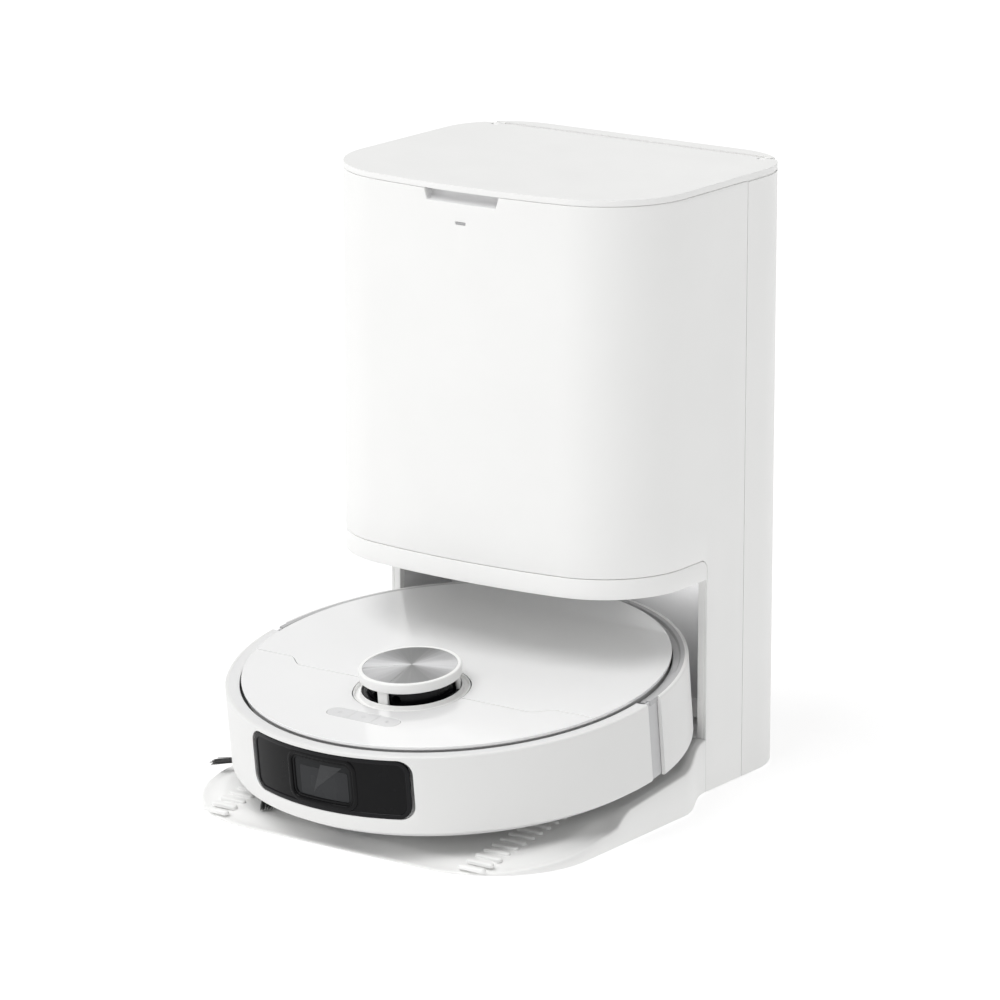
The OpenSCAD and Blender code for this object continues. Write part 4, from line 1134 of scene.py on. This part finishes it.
def make_mop_pads():
    """Round microfibre pads: a thick crowned disc with pressed loops, over a woven backing."""
    rings, n = pad_rings(), 220
    faces = [tuple(range(n))[::-1], tuple(range((len(rings) - 1) * n, len(rings) * n))]
    faces += skin(len(rings), n)
    for side, name in SIDES:
        verts = []
        for r, z in rings:
            for k in range(n):
                a = tau * k / n
                pile = random.uniform(-0.5, 0.35) if z < BACKING_Z else 0.0
                wave = 0.25 * sin(9 * a + r * 0.35) * sin(r * 0.5)
                lift = (pile * 0.5 + wave * 0.5) if z < SOLE_Z else 0.0
                out = pile * 0.8 if z >= SOLE_Z else 0.0
                verts.append(((r + out) * cos(a), (r + out) * sin(a), max(0.02, z + lift)))
        pad = moved((verts, faces), shift(side * MOP_X, MOP_Y, 0))
        obj = piece("mop_cloth_" + name, pad, "mop_cloth", "mop_" + name, ["mop_pad_" + name], sharp=80)


def make_wheels():
    for side, name in SIDES:
        at = shift(side * WHEEL_X, WHEEL_Y, WHEEL_Z) @ spin(90, "Y")
        hw = WHEEL_W / 2
        core, side_r, tread_r = WHEEL_R - 6, WHEEL_R - 2.4, WHEEL_R - 1.6
        half = [(tread_r, hw - 2), (side_r, hw), (core, hw)]
        carcass = [(r, -z) for r, z in reversed(half)] + half
        parts = [turned(soften(carcass, [0.3, 1.2, 1, 1, 1.2, 0.3]), n=96)]
        for k in range(30):
            for row in (-1, 1):
                lug = slab([box_outline(3.4, 7.6, 0.8)], -1.2, 1.55, 0.5, 0.1)
                tip = shift(0, row * 4.3, tread_r) @ spin(24 * row)
                around = spin(360 * (k + 0.25 * row) / 30) @ spin(90, "Y") @ spin(90)
                parts.append(moved(lug, around @ tip))
        tread = moved(joined(*parts), at)
        piece("tread_" + name, tread, "tyre_rubber", "drive_wheel_" + name, ["tyre_" + name])


def make_main_brush():
    """A soft core with six curved rubber blades, each a long wave."""
    core = soften([(1, -91.5), (4, -91.5), (4, -82), (13, -82), (13, 82), (4, 82), (4, 91.5), (1, 91.5)],
                  [0, 0.5, 0.3, 0.8, 0.8, 0.3, 0.5, 0])
    parts = [turned(core, n=64)]
    steps, end = 40, 81.5
    side = [(12.4, 1.1), (16, 0.85), (18.3, 0.6), (18.9, 0.25)]
    section = [(r, -w) for r, w in side] + side[::-1]
    for blade in range(6):
        verts = []
        for i in range(steps + 1):
            z = end * (2 * i / steps - 1)
            lean = radians(60 * blade + 15 * cos(pi * abs(z) / end))
            for r, w in section:
                verts.append((r * cos(lean + w / r), r * sin(lean + w / r), z))
        n = len(section)
        ends = [tuple(range(n)), tuple(range(steps * n, (steps + 1) * n))]
        parts.append((verts, skin(steps + 1, n) + ends))
    at = shift(0, BRUSH_Y, BRUSH_Z) @ spin(90, "Y")
    blades = moved(joined(*parts), at)
    piece("roller_brush_blades", blades, "brush_rubber", "roller_brush", ["main_brush"])


make_front_panel()
make_finger_scoop()
make_lid_seal()
make_status_lens()
make_trim()
make_tray()
make_ribs()
make_bumper()
make_side_shell()
make_plates()
make_buttons()
make_turret()
make_window()
make_side_brush()
make_mop_pads()
make_wheels()
make_main_brush()
for node_name, node in frame["nodes"].items():
    if not node.hide_render:
        softened(node_name)


# ---- stage, lights and camera
WORLD_LIGHT = 0.58
FLOOR_GLOW = 0.72
KEY_LIGHT = 1.7
WHITE = (1, 1, 1, 1)
KEY_FROM = (-0.2, -0.46, 0.87)
KEY_SPREAD = radians(40)
DIM_SIDE = (0.69, -0.69, 0.2)
DIM_LEVEL = 0.62
BAY_LIGHT = 0.028
BAY_LIGHT_SIZE = (0.08, 0.02)
BAY_LIGHT_AT = (88, BAY_BACK_Y - 34, SOFFIT_Z - 5)


def make_floor():
    """Plain white paper, with a faint glow that keeps it white up to the horizon."""
    half = 14.0
    mesh = bpy.data.meshes.new("floor")
    corners = [(x * half, y * half, 0) for x, y in ((-1, -1), (1, -1), (1, 1), (-1, 1))]
    mesh.from_pydata(corners, [], [(0, 1, 2, 3)])
    floor = link("floor", mesh)
    g = Graph("floor_paper")
    paper = g.blend(g.span(g.noise(3, 2), 0, 1), (0.39, 0.39, 0.39, 1), (0.42, 0.42, 0.42, 1))
    g.set(Base_Color=paper, Roughness=0.95, Specular_IOR_Level=0.0)
    g.set(Emission_Color=WHITE, Emission_Strength=FLOOR_GLOW)
    mesh.materials.append(g.owner)


def make_world():
    """White light from all round, dimmer on the side that the key light doesn't reach."""
    g = Graph("studio", world=True)
    facing = g.vector("DOT_PRODUCT", g.place, DIM_SIDE)["Value"]
    g.set(Color=WHITE, Strength=g.span(facing, WORLD_LIGHT, WORLD_LIGHT * DIM_LEVEL, 0.1, 1.0))
    bpy.context.scene.world = g.owner


def make_lights():
    """A wide soft sun, and a weak light that only the bay's liner receives."""
    light = bpy.data.lights.new("key_light", "SUN")
    light.energy = KEY_LIGHT
    light.angle = KEY_SPREAD
    key = link("key_light", light)
    key.rotation_euler = Vector(KEY_FROM).to_track_quat("Z", "Y").to_euler()
    fill = bpy.data.lights.new("bay_fill", "AREA")
    fill.shape, fill.energy = "RECTANGLE", BAY_LIGHT
    fill.size, fill.size_y = BAY_LIGHT_SIZE
    soffit = link("bay_fill", fill)
    soffit.location = Vector(BAY_LIGHT_AT) * MM
    soffit.rotation_euler = Vector((0, -1, 0)).to_track_quat("Z", "Y").to_euler()
    soffit.visible_camera = False
    soffit.light_linking.receiver_collection = bpy.data.collections.new("bay_only")
    soffit.light_linking.receiver_collection.objects.link(bpy.data.objects["bay_liner_shell"])


def make_camera():
    """A long lens from the front right, slightly above, aimed by the robot's place in the frame."""
    azimuth, tilt = radians(35.44), radians(14.66)
    distance, right, rise, lens = 4082.4, 32.94, 121.86, 195.15
    aim = Vector((0, ROBOT_Y, 108.5))
    side = Vector((cos(azimuth), sin(azimuth), 0))
    up = Vector((-sin(azimuth) * sin(tilt), cos(azimuth) * sin(tilt), cos(tilt)))
    back = side.cross(up)
    place = aim + side * right + up * rise + back * distance
    data = bpy.data.cameras.new("camera")
    data.lens = lens
    data.clip_end = 60
    camera = link("camera", data)
    camera.matrix_world = Matrix.Translation(place * MM) @ Matrix((side, up, back)).transposed().to_4x4()
    bpy.context.scene.camera = camera


make_floor()
make_world()
make_lights()
make_camera()
bpy.context.scene.view_settings.view_transform = "Standard"
